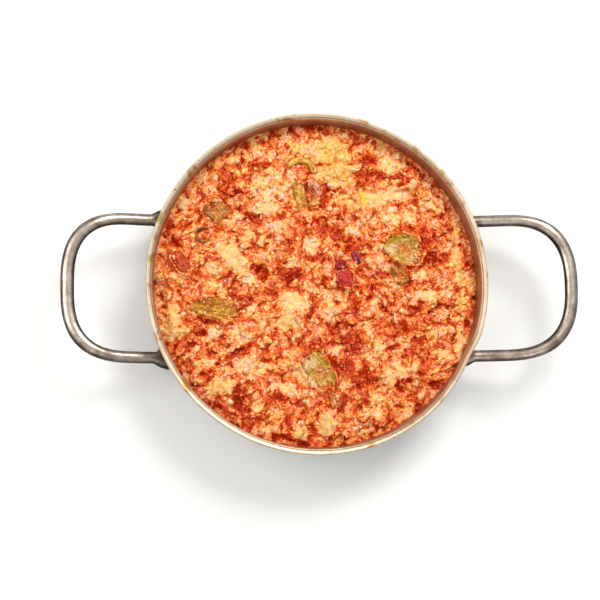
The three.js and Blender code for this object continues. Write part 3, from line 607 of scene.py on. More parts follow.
# Where egg shows pale: x, y, half-length, half-width, lean in degrees, strength, yellowness
eggPatches = [
    (-45, 14.5, 8.5, 6, -62, 1.0, 0.45), (-28, 48, 6, 5.5, 60, 0.8, 0.1),
    (-26, 40, 6.5, 3.5, 5, 0.9, 0.2), (-17, 51, 6, 6, 80, 0.62, 0.1), (-22, 59, 5.5, 3.5, -20, 0.72, 0.3),
    (-18, 32, 6.5, 2.6, -8, 0.95, 0.2), (-36, 25, 5, 2.1, 55, 0.95, 0.6), (-43, 42, 4, 3.2, 0, 0.65, 0.2),
    (-42, 34, 4.2, 3.6, 0, 0.6, 0.2), (-2.5, 21, 3.2, 4, 10, 0.95, 0.1), (-65, 27, 3.2, 2, 20, 0.65, 0.5),
    (-70, 43, 2.4, 4, 0, 0.55, 0.6), (-54, 54, 2.4, 3.4, 0, 0.6, 0.4), (-62, 55, 2.6, 3, 0, 0.6, 0.3),
    (-43, 67, 5.5, 2.2, 28, 0.75, 0.6), (-33, 75, 4, 1.8, -45, 0.7, 0.8),
    (-16, 82, 3.6, 2, 10, 0.65, 0.6), (-7, 73, 6, 3.4, 15, 0.8, 0.6), (-13, 69, 3, 2, 0, 0.7, 0.5),
    (-82, 4, 2.6, 4.5, 0, 0.55, 0.7), (-36, 3, 4.6, 2.6, 10, 0.65, 0.1),
    (-12, 13, 4.4, 1.8, 0, 0.55, 0.1), (-27, 14, 4.4, 2.8, 0, 0.45, 0.3), (-54, 8, 4, 3, -30, 0.5, 0.5),
    (-74, 3, 4, 3, 0, 0.5, 0.8), (10, 71, 10, 7.5, 0, 0.88, 0.85), (11, 60, 9.5, 6.5, 0, 0.84, 0.75),
    (18, 54, 3.4, 2, 0, 0.8, 1.0), (35, 74, 2.6, 3.6, 20, 0.8, 0.8), (39, 64.5, 5, 4.4, 0, 0.85, 0.35),
    (47, 63, 3.4, 3, 0, 0.55, 0.5), (38, 53.5, 3.4, 2, 25, 0.85, 1.0), (43, 55, 2.6, 2, 0, 0.85, 0.4),
    (25.5, 45, 5.2, 5.2, 0, 1.0, 0.95), (33, 46, 5, 4.4, 0, 0.95, 0.5),
    (43.5, 47.5, 5.4, 4.2, 0, 1.0, 0.15), (53, 52, 3, 3, 0, 0.7, 0.6), (58, 47, 2, 4.4, 15, 0.7, 0.7),
    (28, 33, 5.4, 3, 0, 0.65, 0.3), (40, 33, 5, 4, 0, 0.5, 0.2), (50, 37, 5, 4, 0, 0.48, 0.2),
    (75, 25, 2.8, 5, 0, 0.6, 0.8), (75, 12, 3.6, 7, 8, 0.78, 0.9), (78, 2, 4, 4.4, 0, 0.72, 0.8),
    (55, 5, 5.2, 2.6, 20, 0.62, 0.3), (32, 13, 5, 3, 30, 0.55, 0.3), (17, 28, 3, 3, 0, 0.42, 0.2),
    (-13.5, -9, 6.5, 5.2, -32, 1.0, 0.3), (-16, -20.5, 5.5, 3.6, 0, 0.95, 0.5),
    (-76, -13.5, 2.8, 5.4, 0, 1.0, 0.7), (-76, -24, 4, 4, 0, 0.75, 0.6),
    (-42, -26, 5.4, 3.6, 0, 0.78, 0.2), (-53, -26, 3.4, 2, -45, 0.85, 0.3),
    (-57, -29, 3.4, 1.8, 0, 0.65, 0.3), (-61, -41, 5.4, 2.5, 18, 0.9, 0.2),
    (-36, -43, 6.4, 4, 0, 0.7, 0.1), (-52, -54, 6.8, 4.4, -22, 1.0, 0.6),
    (-16, -54, 4, 4.4, 0, 0.75, 0.4), (-7, -49, 7, 2.5, -48, 0.95, 0.2),
    (-33, -64, 3.4, 2.4, -30, 0.65, 0.4), (-22, -70, 4.4, 3, 0, 0.65, 0.5),
    (-27, -75, 5, 2, -15, 0.5, 0.6), (-11, -77, 4.4, 3.4, 0, 0.82, 0.6),
    (-25, -54, 2.5, 2.5, 0, 0.5, 0.3), (6, -7, 3, 4, 0, 0.72, 0.2), (8, -14.5, 4.2, 3.4, 0, 0.85, 0.1),
    (7, -20, 3.6, 1.6, 0, 0.72, 0.2), (57, -6, 5.6, 3.2, -5, 1.0, 0.2), (67, -3, 3.4, 2, 0, 0.5, 0.3),
    (28, -11, 3.2, 4, -30, 0.8, 0.1), (26, -23, 1.8, 5, 15, 0.75, 0.3), (73, -14, 3.4, 3, 0, 0.62, 0.4),
    (76, -31, 2, 7, -8, 1.0, 0.4), (66, -37, 5.4, 2.2, -4, 0.95, 0.5), (62, -26, 3, 2.2, 0, 0.62, 0.7),
    (70, -24, 3.2, 2.4, 0, 0.62, 0.4), (42.5, -45.5, 5.8, 2.9, -10, 1.0, 0.5),
    (50.5, -45, 3, 4.4, 0, 0.6, 0.2), (43, -30, 3, 1.5, -20, 0.75, 0.3), (31, -34, 2.6, 6, 0, 0.6, 0.6),
    (28, -40, 5.4, 2, -38, 0.85, 0.3), (35, -53, 4.4, 4, 0, 0.7, 0.5),
    (31, -60.5, 4.2, 3.2, 0, 0.82, 0.7), (14, -52, 2, 3.2, -20, 0.8, 0.3),
    (12, -37, 4.4, 2.2, -50, 0.72, 0.2), (28, -67, 4.6, 2.6, 0, 0.7, 0.3),
    (27, -73, 3.4, 1.5, 20, 0.75, 0.4), (4, -73.5, 3.6, 4.6, 0, 1.0, 0.6), (44, -69, 3.2, 3, 0, 0.5, 0.4),
    (20, -79, 3, 4, 0, 0.5, 0.3), (15, -27, 2, 1.2, -20, 0.95, 0.2), (-28, -22, 4, 4, 0, 0.7, 0.3),
    (1, 39, 4, 3, 0, 0.6, 0.3), (-28, -45, 5, 3, 0, 0.85, 0.3), (18, 43, 4, 3, 0, 0.75, 0.8),
    (-56, 0, 4.5, 3, 0, 0.75, 0.4), (76, -8, 3.5, 4, 0, 0.75, 0.7), (-18, -43, 4, 2.4, 10, 0.85, 0.6),
    (5, -18, 3.4, 2.6, 0, 0.8, 0.2), (0, 0, 3.4, 3, 0, 0.6, 0.2), (-34, -14, 3.4, 3, 0, 0.65, 0.2),
    (-48, -6, 3, 3, 0, 0.65, 0.3), (-62, 12, 3, 3, 0, 0.65, 0.6), (-72, -27, 3.4, 3, 0, 0.8, 0.6),
    (-76, -20, 4.5, 5, 0, 0.95, 0.7), (8, -20, 4, 2.4, 0, 0.9, 0.2), (-12, 44, 2.4, 4, 0, 0.7, 0.5),
    (66, 32, 3, 3, 0, 0.6, 0.4), (-12, 10, 4, 2, 0, 0.7, 0.2), (-36, -48, 4, 3, 0, 0.75, 0.2),
    (20, 40, 3, 2.4, 0, 0.75, 0.8), (76, -12, 3, 3.4, 0, 0.8, 0.8),
]
# Where tomato shows red: x, y, half-length, half-width, lean in degrees, strength, darkness
tomatoPatches = [
    (-31, 63, 5.4, 1.9, -14, 0.9, 0.5), (-37, 73, 4, 1.8, 15, 1.0, 0.9), (-47, 59, 5.4, 4, 0, 0.5, 0.0),
    (-48, 50, 4.4, 3.2, 0, 0.62, 0.1), (-42, 50, 3.4, 2, 0, 0.8, 0.3), (-37, 47, 5, 3, 0, 0.6, 0.1),
    (-33, 34.5, 6, 3.6, 0, 0.62, 0.2), (-40, 40, 1.5, 2.4, 0, 0.8, 0.8), (-75, 23, 4, 2.4, 0, 0.8, 0.4),
    (-70, 31, 2.4, 2, 0, 0.6, 0.3), (-30, 6, 2, 3.4, 0, 1.0, 0.9), (-45, 3.5, 3.4, 2, 0, 0.8, 0.4),
    (-14, 5, 5.4, 3.8, 0, 0.8, 0.5), (-20, 7, 3, 2, 0, 0.72, 0.3), (-4, 14.5, 4.4, 1.5, 0, 0.85, 0.7),
    (-15, 17, 3.4, 1.6, -30, 0.6, 0.2), (3, 82, 6, 2.2, 0, 0.6, 0.1), (5, 47, 4, 5, 0, 0.6, 0.1),
    (21, 77, 3, 4, 0, 0.7, 0.3), (19, 72, 2, 2.2, 0, 0.9, 0.5), (28, 66, 3.2, 3.2, 0, 0.8, 0.1),
    (29, 58, 6, 3, 5, 0.92, 0.4), (26, 54.5, 4, 2.4, 0, 0.8, 0.2), (41, 57.3, 5.5, 1.1, 8, 0.9, 0.9),
    (48, 56, 3, 2, 0, 0.7, 0.2), (54, 47, 3.2, 3.2, 0, 0.72, 0.1), (13.5, 26, 6.6, 2, -50, 1.0, 0.9),
    (20, 17, 6, 2, -32, 0.82, 0.6), (60, 24, 8, 6, 20, 0.58, 0.1), (66, 29, 3.4, 3, 0, 0.7, 0.1),
    (64, 14, 5.4, 3.2, 0, 0.65, 0.2), (5, 28, 5.4, 2, 0, 0.7, 0.4), (35, 6, 3.4, 2.2, 0, 0.8, 0.7),
    (49.5, 3, 1.6, 3.6, 0, 1.0, 0.8), (-38, -7, 3.4, 2, 0, 0.82, 0.4), (-25, -3, 3.4, 2, 0, 0.82, 0.5),
    (-17, -1.5, 3.4, 1.6, 0, 0.9, 0.7), (-4, -6, 3.4, 2, 0, 0.7, 0.2), (-61, -26, 5.4, 1.5, 10, 1.0, 0.9),
    (-55, -19, 3.4, 1.2, -20, 0.9, 0.7), (-44, -35, 5.4, 1.8, 32, 0.92, 0.8),
    (-55, -36, 3, 1.8, -40, 0.82, 0.7), (-38, -32, 4.4, 1.5, 0, 0.8, 0.5),
    (-69, -41, 3.4, 2, 0, 0.82, 0.6), (-60, -46, 4.4, 1.5, 20, 0.8, 0.6), (-70, -29, 2.2, 2, 0, 0.8, 0.5),
    (-41, -57, 3.4, 2.4, 0, 1.0, 1.0), (-42, -62, 1.5, 3.4, 15, 0.9, 0.7),
    (-38, -65, 4.4, 1.5, -20, 0.72, 0.4), (-50, -65, 6.4, 1.8, -20, 0.82, 0.6),
    (-28, -53, 2.2, 1.5, 30, 0.8, 0.7), (-20, -49, 2.4, 2, 0, 0.8, 0.3), (-20, -60, 6, 2, 0, 0.72, 0.5),
    (-13, -61, 5, 1.5, -30, 0.8, 0.5), (-16, -72, 3, 4, 0, 0.7, 0.2), (-18, -78, 3.4, 1.8, 0, 0.8, 0.5),
    (-30, -70, 3.4, 1.2, 0, 0.8, 0.6), (-9.5, -83.5, 3.2, 1.8, 20, 1.3, 1.6),
    (-3, -33, 5.4, 3, 0, 0.8, 0.3), (13, -24, 5.4, 3.6, 0, 0.85, 0.5), (13.5, -31, 3.4, 2, 0, 1.0, 0.9),
    (19, -33, 3, 2.2, 0, 1.0, 0.9), (18, -27, 3, 2, 0, 0.92, 0.6), (15.5, -46, 9.5, 2.4, -42, 0.95, 0.6),
    (24, -48, 4.4, 4, 0, 0.82, 0.2), (33, -12, 3.4, 1.7, -30, 1.0, 1.0), (36, -17, 2.4, 2, 0, 0.72, 0.4),
    (30, -2, 3.4, 1.5, 0, 0.92, 0.8), (27, -7, 2.2, 2, 0, 0.8, 0.4), (51, -12, 4.4, 1.5, -15, 0.95, 0.8),
    (64, -12, 3.4, 1.8, 0, 0.82, 0.4), (46, -23, 3.4, 3, 0, 0.9, 0.7), (40, -28, 4.4, 2, 0, 0.62, 0.2),
    (41, -34, 4.4, 1.5, 10, 0.8, 0.6), (64, -20, 4.4, 1.5, 0, 0.8, 0.5),
    (80, -20, 3.4, 1.5, 0, 0.82, 0.7), (56, -30, 3.4, 1.5, 0, 0.7, 0.4), (43, -51, 4.4, 2, 0, 0.82, 0.5),
    (48.5, -50.5, 1.6, 2, 0, 0.95, 0.9), (42, -54.5, 3.4, 1.5, 0, 0.8, 0.5),
    (56, -44, 2, 3.4, 0, 0.7, 0.2), (62, -54, 5.4, 1.5, 0, 0.8, 0.6), (53, -66, 3.4, 1.6, 20, 0.9, 0.9),
    (13, -60, 2.6, 3.4, 0, 0.92, 0.8), (8, -65, 3.4, 1.5, 0, 0.9, 0.7), (25, -59, 2, 3.4, 0, 0.7, 0.3),
    (38, -70, 5.4, 2, 0, 0.7, 0.4), (25, -75, 2.4, 1.5, 0, 0.8, 0.7), (3, -79, 3.6, 1.1, 0, 0.7, 0.6),
    (29, -51.5, 4.4, 1.2, 20, 0.82, 0.7), (6, 64.3, 4.2, 1.7, -18, 1.3, 0.1),
    (25, 40, 2.6, 1.8, 0, 0.8, 0.0), (21, -64, 4, 4, 0, 0.75, 0.2), (-50, -31, 4, 3, 0, 0.65, 0.2),
    (18, -10, 4, 4, 0, 0.65, 0.2), (33, -29, 4, 3, 0, 0.65, 0.2), (11, 24, 3, 3, 0, 0.9, 0.5),
    (-42, 29.5, 4, 2, 0, 0.75, 0.3), (16, -29, 4, 3, 0, 0.95, 0.5), (-33, 58, 3.4, 3, 0, 0.8, 0.3),
    (12, -64, 3, 3, 0, 0.85, 0.5), (13, -47, 3, 3, 0, 0.8, 0.4), (-22, -57.5, 3, 2, 0, 0.9, 0.5),
    (34, -66, 3, 2.4, 0, 0.7, 0.3), (-14, -4, 4, 2, 0, 0.8, 0.3), (-10, 30, 6, 5, 0, 0.5, 0.1),
    (30, 1, 5, 5, 0, 0.5, 0.1), (-60, -42, 6, 5, 0, 0.4, 0.1), (15, -41, 3.4, 3, 0, 0.9, 0.6),
    (-42, 32, 4, 2.4, 0, 0.7, 0.1), (22, -28, 3, 3, 0, 0.8, 0.3), (24, -71, 4, 2, 0, 0.6, 0.1),
    (8, -32, 3, 2.4, 0, 0.7, 0.3), (26, -11, 3, 3, 0, 0.6, 0.2), (56, -54, 4, 3, 0, 0.5, 0.1),
]


def moundAt(x, y):
    # A level middle that falls to the edge by 3t^2 - 2t^3, with slow swells of sine times cosine
    edge = innerRadius(food["edge"])
    fall = 1 - smoothStep(np.hypot(x, y), edge - food["shoulder"], edge)
    swell = np.sin(x / 11 + 0.6) * np.cos(y / 13 - 0.4)
    return food["edge"] + (food["crown"] - food["edge"]) * fall + 0.7 * swell * fall


def ellipseReach(x, y, centreX, centreY, halfLength, halfWidth, lean):
    # Distance from the middle of an ellipse, 1 at its outline
    lean = np.radians(lean)
    along = (x - centreX) * np.cos(lean) + (y - centreY) * np.sin(lean)
    across = (y - centreY) * np.cos(lean) - (x - centreX) * np.sin(lean)
    return np.hypot(along / halfLength, across / halfWidth)


def patchField(x, y, patches):
    # The strongest patch at each point, falling off as the bell exp(-0.7 q^4), and its last number
    most, tint = np.zeros_like(x), np.zeros_like(x)
    for *ellipse, strength, extra in patches:
        amount = strength * np.exp(-0.7 * ellipseReach(x, y, *ellipse) ** 4)
        stronger = amount > most
        most = np.where(stronger, amount, most)
        tint = np.where(stronger, extra * amount, tint)
    return most, tint


def drawMaker(seed):
    # The mixing of bits that places the lesser lumps, one draw at a time
    state = seed

    def draw():
        nonlocal state
        state = (state + 0x6D2B79F5) & 0xFFFFFFFF
        value = ((state ^ (state >> 15)) * (state | 1)) & 0xFFFFFFFF
        value ^= (value + (((value ^ (value >> 7)) * (value | 61)) & 0xFFFFFFFF)) & 0xFFFFFFFF
        return (value ^ (value >> 14)) / 2 ** 32

    return draw


# Pepper, tomato and onion on top: lengths in mm, angles in degrees from +X.
# "cup" lifts the long edges, "bow" lifts the ends; a negative value turns the skin up. "skin" is where
# along the edge the skin shows, as bearings in the slice's own frame, and how wide. "pulp" is a hollow:
# its middle and its half-sizes as shares of the slice, and its depth. "outline" nips the edge in: pairs of
# a bearing and the share of the full outline it has there. "pale" is a list of paler places: middle and
# half-sizes as shares of the slice.
slices = {
    "pepper_2": {"x": -8.2, "y": 46.6, "angle": -79, "length": 15.0, "width": 6.4, "thickness": 2.4,
                 "cup": -1.1, "bow": -0.8, "roundness": 0.35, "skin": (-170, 170, 0.5),
                 "finish": "pepperSkin"},
    "pepper_3": {"x": -1.3, "y": 43.4, "angle": 8, "length": 5.4, "width": 5.2, "thickness": 2.2,
                 "cup": 0.6, "bow": -0.4, "roundness": 0.4, "skin": (-120, 20, 1.2), "finish": "pepperSkin"},
    "pepper_4": {"x": -52.8, "y": 38.8, "angle": -42, "length": 13.5, "width": 11.0, "thickness": 3.0,
                 "cup": 0.9, "bow": -0.7, "roundness": 0.55, "skin": (-170, -50, 2.6),
                 "pulp": (-0.2, 0.15, 0.5, 0.5, 0.6), "pale": ((0.5, 0.3, 0.4, 0.7),),
                 "finish": "pepperTan"},
    "pepper_5": {"x": -54.8, "y": -12.8, "angle": -5, "length": 30.5, "width": 12.4, "thickness": 2.4,
                 "cup": 1.4, "bow": -1.1, "roundness": 0.95, "taper": 0.25, "skin": (175, 300, 1.4),
                 "outline": ((16, 0.94), (38, 0.78), (78, 0.84), (103, 1.0), (134, 0.85), (180, 0.96),
                             (227, 0.88), (256, 0.84), (292, 0.94), (317, 0.86), (337, 1.0)),
                 "pulp": (-0.2, 0.35, 0.26, 0.4, 1.1), "pale": ((0.75, 0.0, 0.28, 0.8),),
                 "finish": "pepperOlive"},
    "pepper_6": {"x": 46.0, "y": 18.6, "angle": -13, "length": 23.0, "width": 16.0, "thickness": 2.6,
                 "cup": 2.2, "bow": 1.2, "roundness": 0.85, "skin": (48, 195, 2.6),
                 "outline": ((2, 0.94), (31, 0.84), (62, 1.0), (110, 1.0), (148, 0.84), (188, 0.98),
                             (237, 0.83), (275, 0.97), (320, 1.0)),
                 "pulp": (0.1, 0.0, 0.36, 0.42, 1.3),
                 "pale": ((-0.55, -0.1, 0.42, 0.6), (0.55, -0.45, 0.42, 0.5)), "finish": "pepperFlesh"},
    "pepper_7": {"x": -0.5, "y": -46.0, "angle": -58, "length": 22.0, "width": 14.6, "thickness": 2.6,
                 "cup": 1.9, "bow": 0.9, "roundness": 0.7, "skin": (20, 130, 1.8),
                 "outline": ((36, 0.97), (67, 0.97), (123, 1.0), (155, 0.94), (188, 0.95), (216, 0.93),
                             (241, 0.9), (270, 0.82), (302, 0.76), (344, 0.9)),
                 "pulp": (0.12, 0.1, 0.34, 0.6, 1.0), "pale": ((-0.5, -0.1, 0.4, 0.7),),
                 "finish": "pepperFlesh"},
    "pepper_9": {"x": 44.0, "y": 5.0, "angle": -60, "length": 11.4, "width": 8.0, "thickness": 2.4,
                 "cup": 1.0, "bow": -0.5, "roundness": 0.6, "skin": (-170, -20, 2.6),
                 "pulp": (0.0, 0.45, 0.8, 0.6, 0.9), "finish": "pepperTan"},
    "tomato_1": {"x": 14.3, "y": 2.6, "angle": -8, "length": 9.4, "width": 8.4, "thickness": 4.0,
                 "cup": -0.5, "bow": -0.5, "roundness": 0.5, "skin": (75, 215, 0.7),
                 "finish": "tomatoFlesh"},
    "tomato_2": {"x": -71.2, "y": 11.3, "angle": -58, "length": 13.0, "width": 7.6, "thickness": 4.2,
                 "cup": -0.9, "bow": -0.7, "roundness": 0.75, "finish": "tomatoPulp"},
    "onion_1": {"x": 12.3, "y": 10.0, "angle": -4, "length": 5.8, "width": 4.8, "thickness": 3.6,
                "cup": -0.3, "bow": -0.3, "roundness": 0.35, "finish": "onionRed"},
    "onion_2": {"x": 20.8, "y": 13.8, "angle": -62, "length": 8.0, "width": 4.2, "thickness": 2.2,
                "cup": 0.7, "bow": -0.5, "roundness": 0.6, "skin": (20, 160, 0.6), "finish": "onionRed"},
    "onion_3": {"x": -0.4, "y": 51.3, "angle": -48, "length": 10.5, "width": 6.4, "thickness": 2.6,
                "cup": 0.8, "bow": -0.6, "roundness": 0.7, "skin": (-170, -40, 0.8),
                "pulp": (0.0, -0.45, 0.6, 0.35, 0.9), "finish": "onionPink"},
    "onion_4": {"x": 8.3, "y": -61.0, "angle": -62, "length": 9.8, "width": 6.0, "thickness": 3.0,
                "cup": -0.7, "bow": -0.5, "roundness": 0.75, "finish": "onionBrown"},
}
curls = {
    "pepper_1": {"x": -7.9, "y": 58.6, "outer": 9.0, "wall": 3.4, "from": 2, "to": 152, "height": 4.2,
                 "skinSide": 1, "finish": "pepperSkin"},
    "pepper_8": {"x": -59.4, "y": 25.6, "outer": 4.6, "wall": 1.7, "from": 60, "to": 330, "height": 3.4,
                 "skinSide": -1, "finish": "pepperBrown"},
}
skinStrip = {"start": (-78.2, 16.6), "bend": (-76.4, 6.6), "end": (-68.6, 2.6),
             "height": 2.4, "thickness": 1.3, "sink": 0.9}
# How deep they sit, and the bank of egg round a slice: how far out its middle is, its width and its fall
seating = {"sliceSink": 0.9, "curlSink": 2.4, "bankFrom": 0.3, "bankWidth": 1.5, "bankShare": 0.15,
           "bankDrop": 0.45}


def sliceSpace(one, x, y):
    # Where points lie in a slice's own frame, 1 at its edges
    lean = np.radians(one["angle"])
    along = (x - one["x"]) * np.cos(lean) + (y - one["y"]) * np.sin(lean)
    across = (y - one["y"]) * np.cos(lean) - (x - one["x"]) * np.sin(lean)
    return along / (one["length"] / 2), across / (one["width"] / 2)


def cornerPower(one):
    # The power of the superellipse |u|^n + |v|^n = 1 that a slice's outline follows
    return np.log(2) / -np.log(1 - 0.293 * one["roundness"])


def outlineShare(one, bearing):
    # Straight runs between the shares of the superellipse that a slice's outline has at some bearings
    if "outline" not in one:
        return np.ones_like(bearing)
    at, share = zip(*one["outline"])
    return np.interp(np.degrees(bearing) % 360, at, share, period=360)


def sliceReach(one, u, v):
    # (|u|^n + |v|^n)^(1/n) over the outline's share, which is 1 at the outline
    power = cornerPower(one)
    v = v / (1 + one.get("taper", 0) * np.clip(u, -1, 1))
    return (np.abs(u) ** power + np.abs(v) ** power) ** (1 / power) / outlineShare(one, np.arctan2(v, u))


def stripLine(count):
    # A parabola through the strip's start and end, pulled towards its bend
    t = np.linspace(0, 1, count)[:, None]
    start, bend, end = (np.array(skinStrip[key]) for key in ("start", "bend", "end"))
    return start * (1 - t) ** 2 + 2 * bend * t * (1 - t) + end * t ** 2


def seatOf(one, sink):
    # The underside of a topping: the mound's height at its middle, less how deep it sits
    return moundAt(np.array(one["x"]), np.array(one["y"])) - sink


def pulpDepth(one):
    # The last number of "pulp", or nothing
    return one["pulp"][-1] if "pulp" in one else 0


def sliceTop(one, u, v):
    # Height of a slice's top face: its seat and thickness, cup times v^2, bow times u^2, less the hollow
    lift = one["cup"] * np.clip(v, -1, 1) ** 2 + one["bow"] * np.clip(u, -1, 1) ** 2
    return seatOf(one, seating["sliceSink"]) + one["thickness"] + lift - pulpAt(one, u, v) * pulpDepth(one)


def toppingsAt(x, y):
    # What the toppings do at each point: how much one covers it, 0 to 1; the height of its top there; the
    # bank of egg pushed up against its edge, a bell e to the minus distance squared; and how hollow it is
    cover, top, bank, hollow = (np.zeros_like(x) for _ in range(4))
    for one in slices.values():
        u, v = sliceSpace(one, x, y)
        reach = sliceReach(one, u, v)
        here = 1 - smoothStep(reach, 0.74, 1.0)
        narrow = min(one["length"], one["width"])
        bankWidth = min(seating["bankWidth"], seating["bankShare"] * narrow)
        beside = np.exp(-(((reach - 1) * narrow / 2 / bankWidth - seating["bankFrom"])) ** 2)
        nearer = np.maximum(here, beside) > np.maximum(cover, bank)
        top = np.where(nearer, sliceTop(one, u, v), top)
        hollow = np.where(nearer, pulpAt(one, u, v), hollow)
        cover, bank = np.maximum(cover, here), np.maximum(bank, beside)
    for one in curls.values():
        radius = np.hypot(x - one["x"], y - one["y"])
        bearing = (np.degrees(np.arctan2(y - one["y"], x - one["x"])) - one["from"]) % 360
        middle = one["outer"] - one["wall"] / 2
        across = 1 - smoothStep(np.abs(radius - middle), one["wall"] / 2 - 0.6, one["wall"] / 2 + 0.3)
        here = across * (bearing < one["to"] - one["from"])
        top = np.where(here > cover, seatOf(one, seating["curlSink"]) + one["height"], top)
        cover = np.maximum(cover, here)
    for px, py in stripLine(12):
        cover = np.maximum(cover, 1 - smoothStep(np.hypot(x - px, y - py), 0.8, 1.8))
    return cover, top, bank, hollow


def paleAt(one, u, v):
    # The strongest of some bells of e to the minus distance to the power 2.6, shifted about by noise
    amount = np.zeros_like(u)
    u = u + 0.24 * softNoise(u + one["x"], v, 0.34, 17)
    v = v + 0.34 * softNoise(u + one["y"], v, 0.34, 18)
    for middleU, middleV, halfU, halfV in one.get("pale", ()):
        squared = ((u - middleU) / halfU) ** 2 + ((v - middleV) / halfV) ** 2
        amount = np.maximum(amount, np.exp(-squared ** 1.3))
    return amount


def pulpAt(one, u, v):
    # A bell of e to the minus distance cubed round the middle of the hollow
    if "pulp" not in one:
        return np.zeros_like(u)
    middleU, middleV, halfU, halfV, _ = one["pulp"]
    return np.exp(-(((u - middleU) / halfU) ** 2 + ((v - middleV) / halfV) ** 2) ** 1.5)


def crowdsTopping(x, y, across):
    # Whether a lump would lie on, or push into, a topping
    near = any(np.hypot(x - one["x"], y - one["y"]) < one["outer"] + across for one in curls.values())
    for one in slices.values():
        u, v = sliceSpace(one, x, y)
        u *= one["length"] / 2 / (one["length"] / 2 + across)
        v *= one["width"] / 2 / (one["width"] / 2 + across)
        near = near or np.hypot(u, v) < 1
    return near


def lesserPlaces():
    # A sunflower spiral: radius as the square root of the number, turned by the golden angle each time
    golden = np.pi * (3 - np.sqrt(5))
    edge = innerRadius(food["edge"])
    places = []
    for count, smallest, largest, flatness, seed in lesserLumps:
        draw = drawMaker(seed)
        for i in range(count):
            across = smallest + (largest - smallest) * draw() ** 1.5
            radius = edge * np.sqrt((i + 0.5) / count) - across * 0.5 * draw()
            bearing = i * golden + 0.35 * draw()
            up = across * flatness * 0.35 * draw()
            x, y = radius * np.cos(bearing), radius * np.sin(bearing)
            if crowdsTopping(x, y, across):
                continue
            for _ in range(14):  # the draws that shape a lump's facets
                draw()
            inwards = min(1, (edge - 0.6 - across * 1.273) / np.hypot(x, y))
            places.append((x * inwards, y * inwards, across, up, flatness))
    return places


lesser = lesserPlaces()


def foodSurface(x, y):
    # The mound, plus the highest of the lumps, plus clumps, curds, nodules and grain; all of it in places
    # shifted by noise so that no outline is round. Gives the height and what colours the surface.
    warpX = x + 1.7 * softNoise(x, y, 6.5, 1) + 0.6 * softNoise(x, y, 2.2, 2)
    warpY = y + 1.7 * softNoise(x, y, 6.5, 3) + 0.6 * softNoise(x, y, 2.2, 4)
    lumps = np.zeros_like(x)
    for centreX, centreY, across, rise in eggLumps:
        dome = np.maximum(1 - ((warpX - centreX) ** 2 + (warpY - centreY) ** 2) / across ** 2, 0)
        lumps = np.maximum(lumps, rise - 0.3 * across * (1 - np.sqrt(dome)))
    for centreX, centreY, across, up, flatness in lesser:
        dome = np.maximum(1 - ((warpX - centreX) ** 2 + (warpY - centreY) ** 2) / across ** 2, 0)
        lumps = np.maximum(lumps, np.where(dome > 0, up + across * flatness * np.sqrt(dome), 0))
    egg, yellow = patchField(warpX, warpY, eggPatches)
    tomato, dark = patchField(warpX, warpY, tomatoPatches)
    smooth = smoothStep(egg, 0.74, 0.93)
    cover, toppingTop, bank, _ = toppingsAt(x, y)
    rough = 1 - food["smoothing"] * smooth
    clumps, curds, nodules, grain = food["clumps"], food["curds"], food["nodules"], food["grain"]
    clump, clumpShade = lumpField(warpX, warpY, clumps["size"], clumps["seed"])
    curd, curdShade = lumpField(warpX, warpY, curds["size"], curds["seed"])
    nodule = billow(warpX, warpY, nodules["size"], nodules["seed"], 2)
    fine = billow(x, y, grain["size"], grain["seed"], 2)
    relief = clumps["rise"] * (clump - 0.55) + curds["rise"] * (curd - 0.5) * (1 - 0.7 * smooth)
    relief += (nodules["rise"] * (nodule - 0.5) + grain["rise"] * (fine - 0.5)) * rough
    tops = 0.24 * clump + 0.22 * curd + 0.36 * nodule + 0.18 * fine
    tops = tops * (1 - 0.6 * smooth) + 0.6 * smooth * 0.62
    level = moundAt(x, y) + 0.8 * lumps * (1 - cover) + relief * (1 - 0.85 * cover)
    level += (0.5 * smooth - 0.6 * dark) * (1 - cover) - 0.5 * cover
    level += bank * (toppingTop - seating["bankDrop"] + 0.9 * relief - level)
    amount = 0.44 + 0.54 * egg - 0.52 * tomato * (1 - 0.35 * egg) + 0.06 * softNoise(x, y, 10, 7)
    amount += (0.15 * (clumpShade - 0.5) + 0.26 * (curdShade - 0.5)) * (1 - 0.6 * smooth)
    # Higher relief is paler and lower relief redder: partly juice in the hollows, partly painted shade in
    # them
    amount += 1.3 * (tops - 0.5) * (1 - 0.35 * smooth)
    return {
        "level": level, "egg": np.clip(amount, 0, 1), "yolk": np.clip(yellow, 0, 1), "smooth": smooth,
        "dark": np.clip(dark, 0, 1), "cover": cover,
    }


def discGrid(lines):
    # A square grid bent into a unit disc: the larger coordinate is the radius, their ratio the angle
    a, b = np.meshgrid(np.linspace(-1, 1, lines), np.linspace(-1, 1, lines))
    wide = np.abs(a) > np.abs(b)
    safeA, safeB = np.where(a == 0, 1e-9, a), np.where(b == 0, 1e-9, b)
    radius = np.where(wide, a, b)
    angle = np.where(wide, np.pi / 4 * b / safeA, np.pi / 2 - np.pi / 4 * a / safeB)
    return radius * np.cos(angle), radius * np.sin(angle)


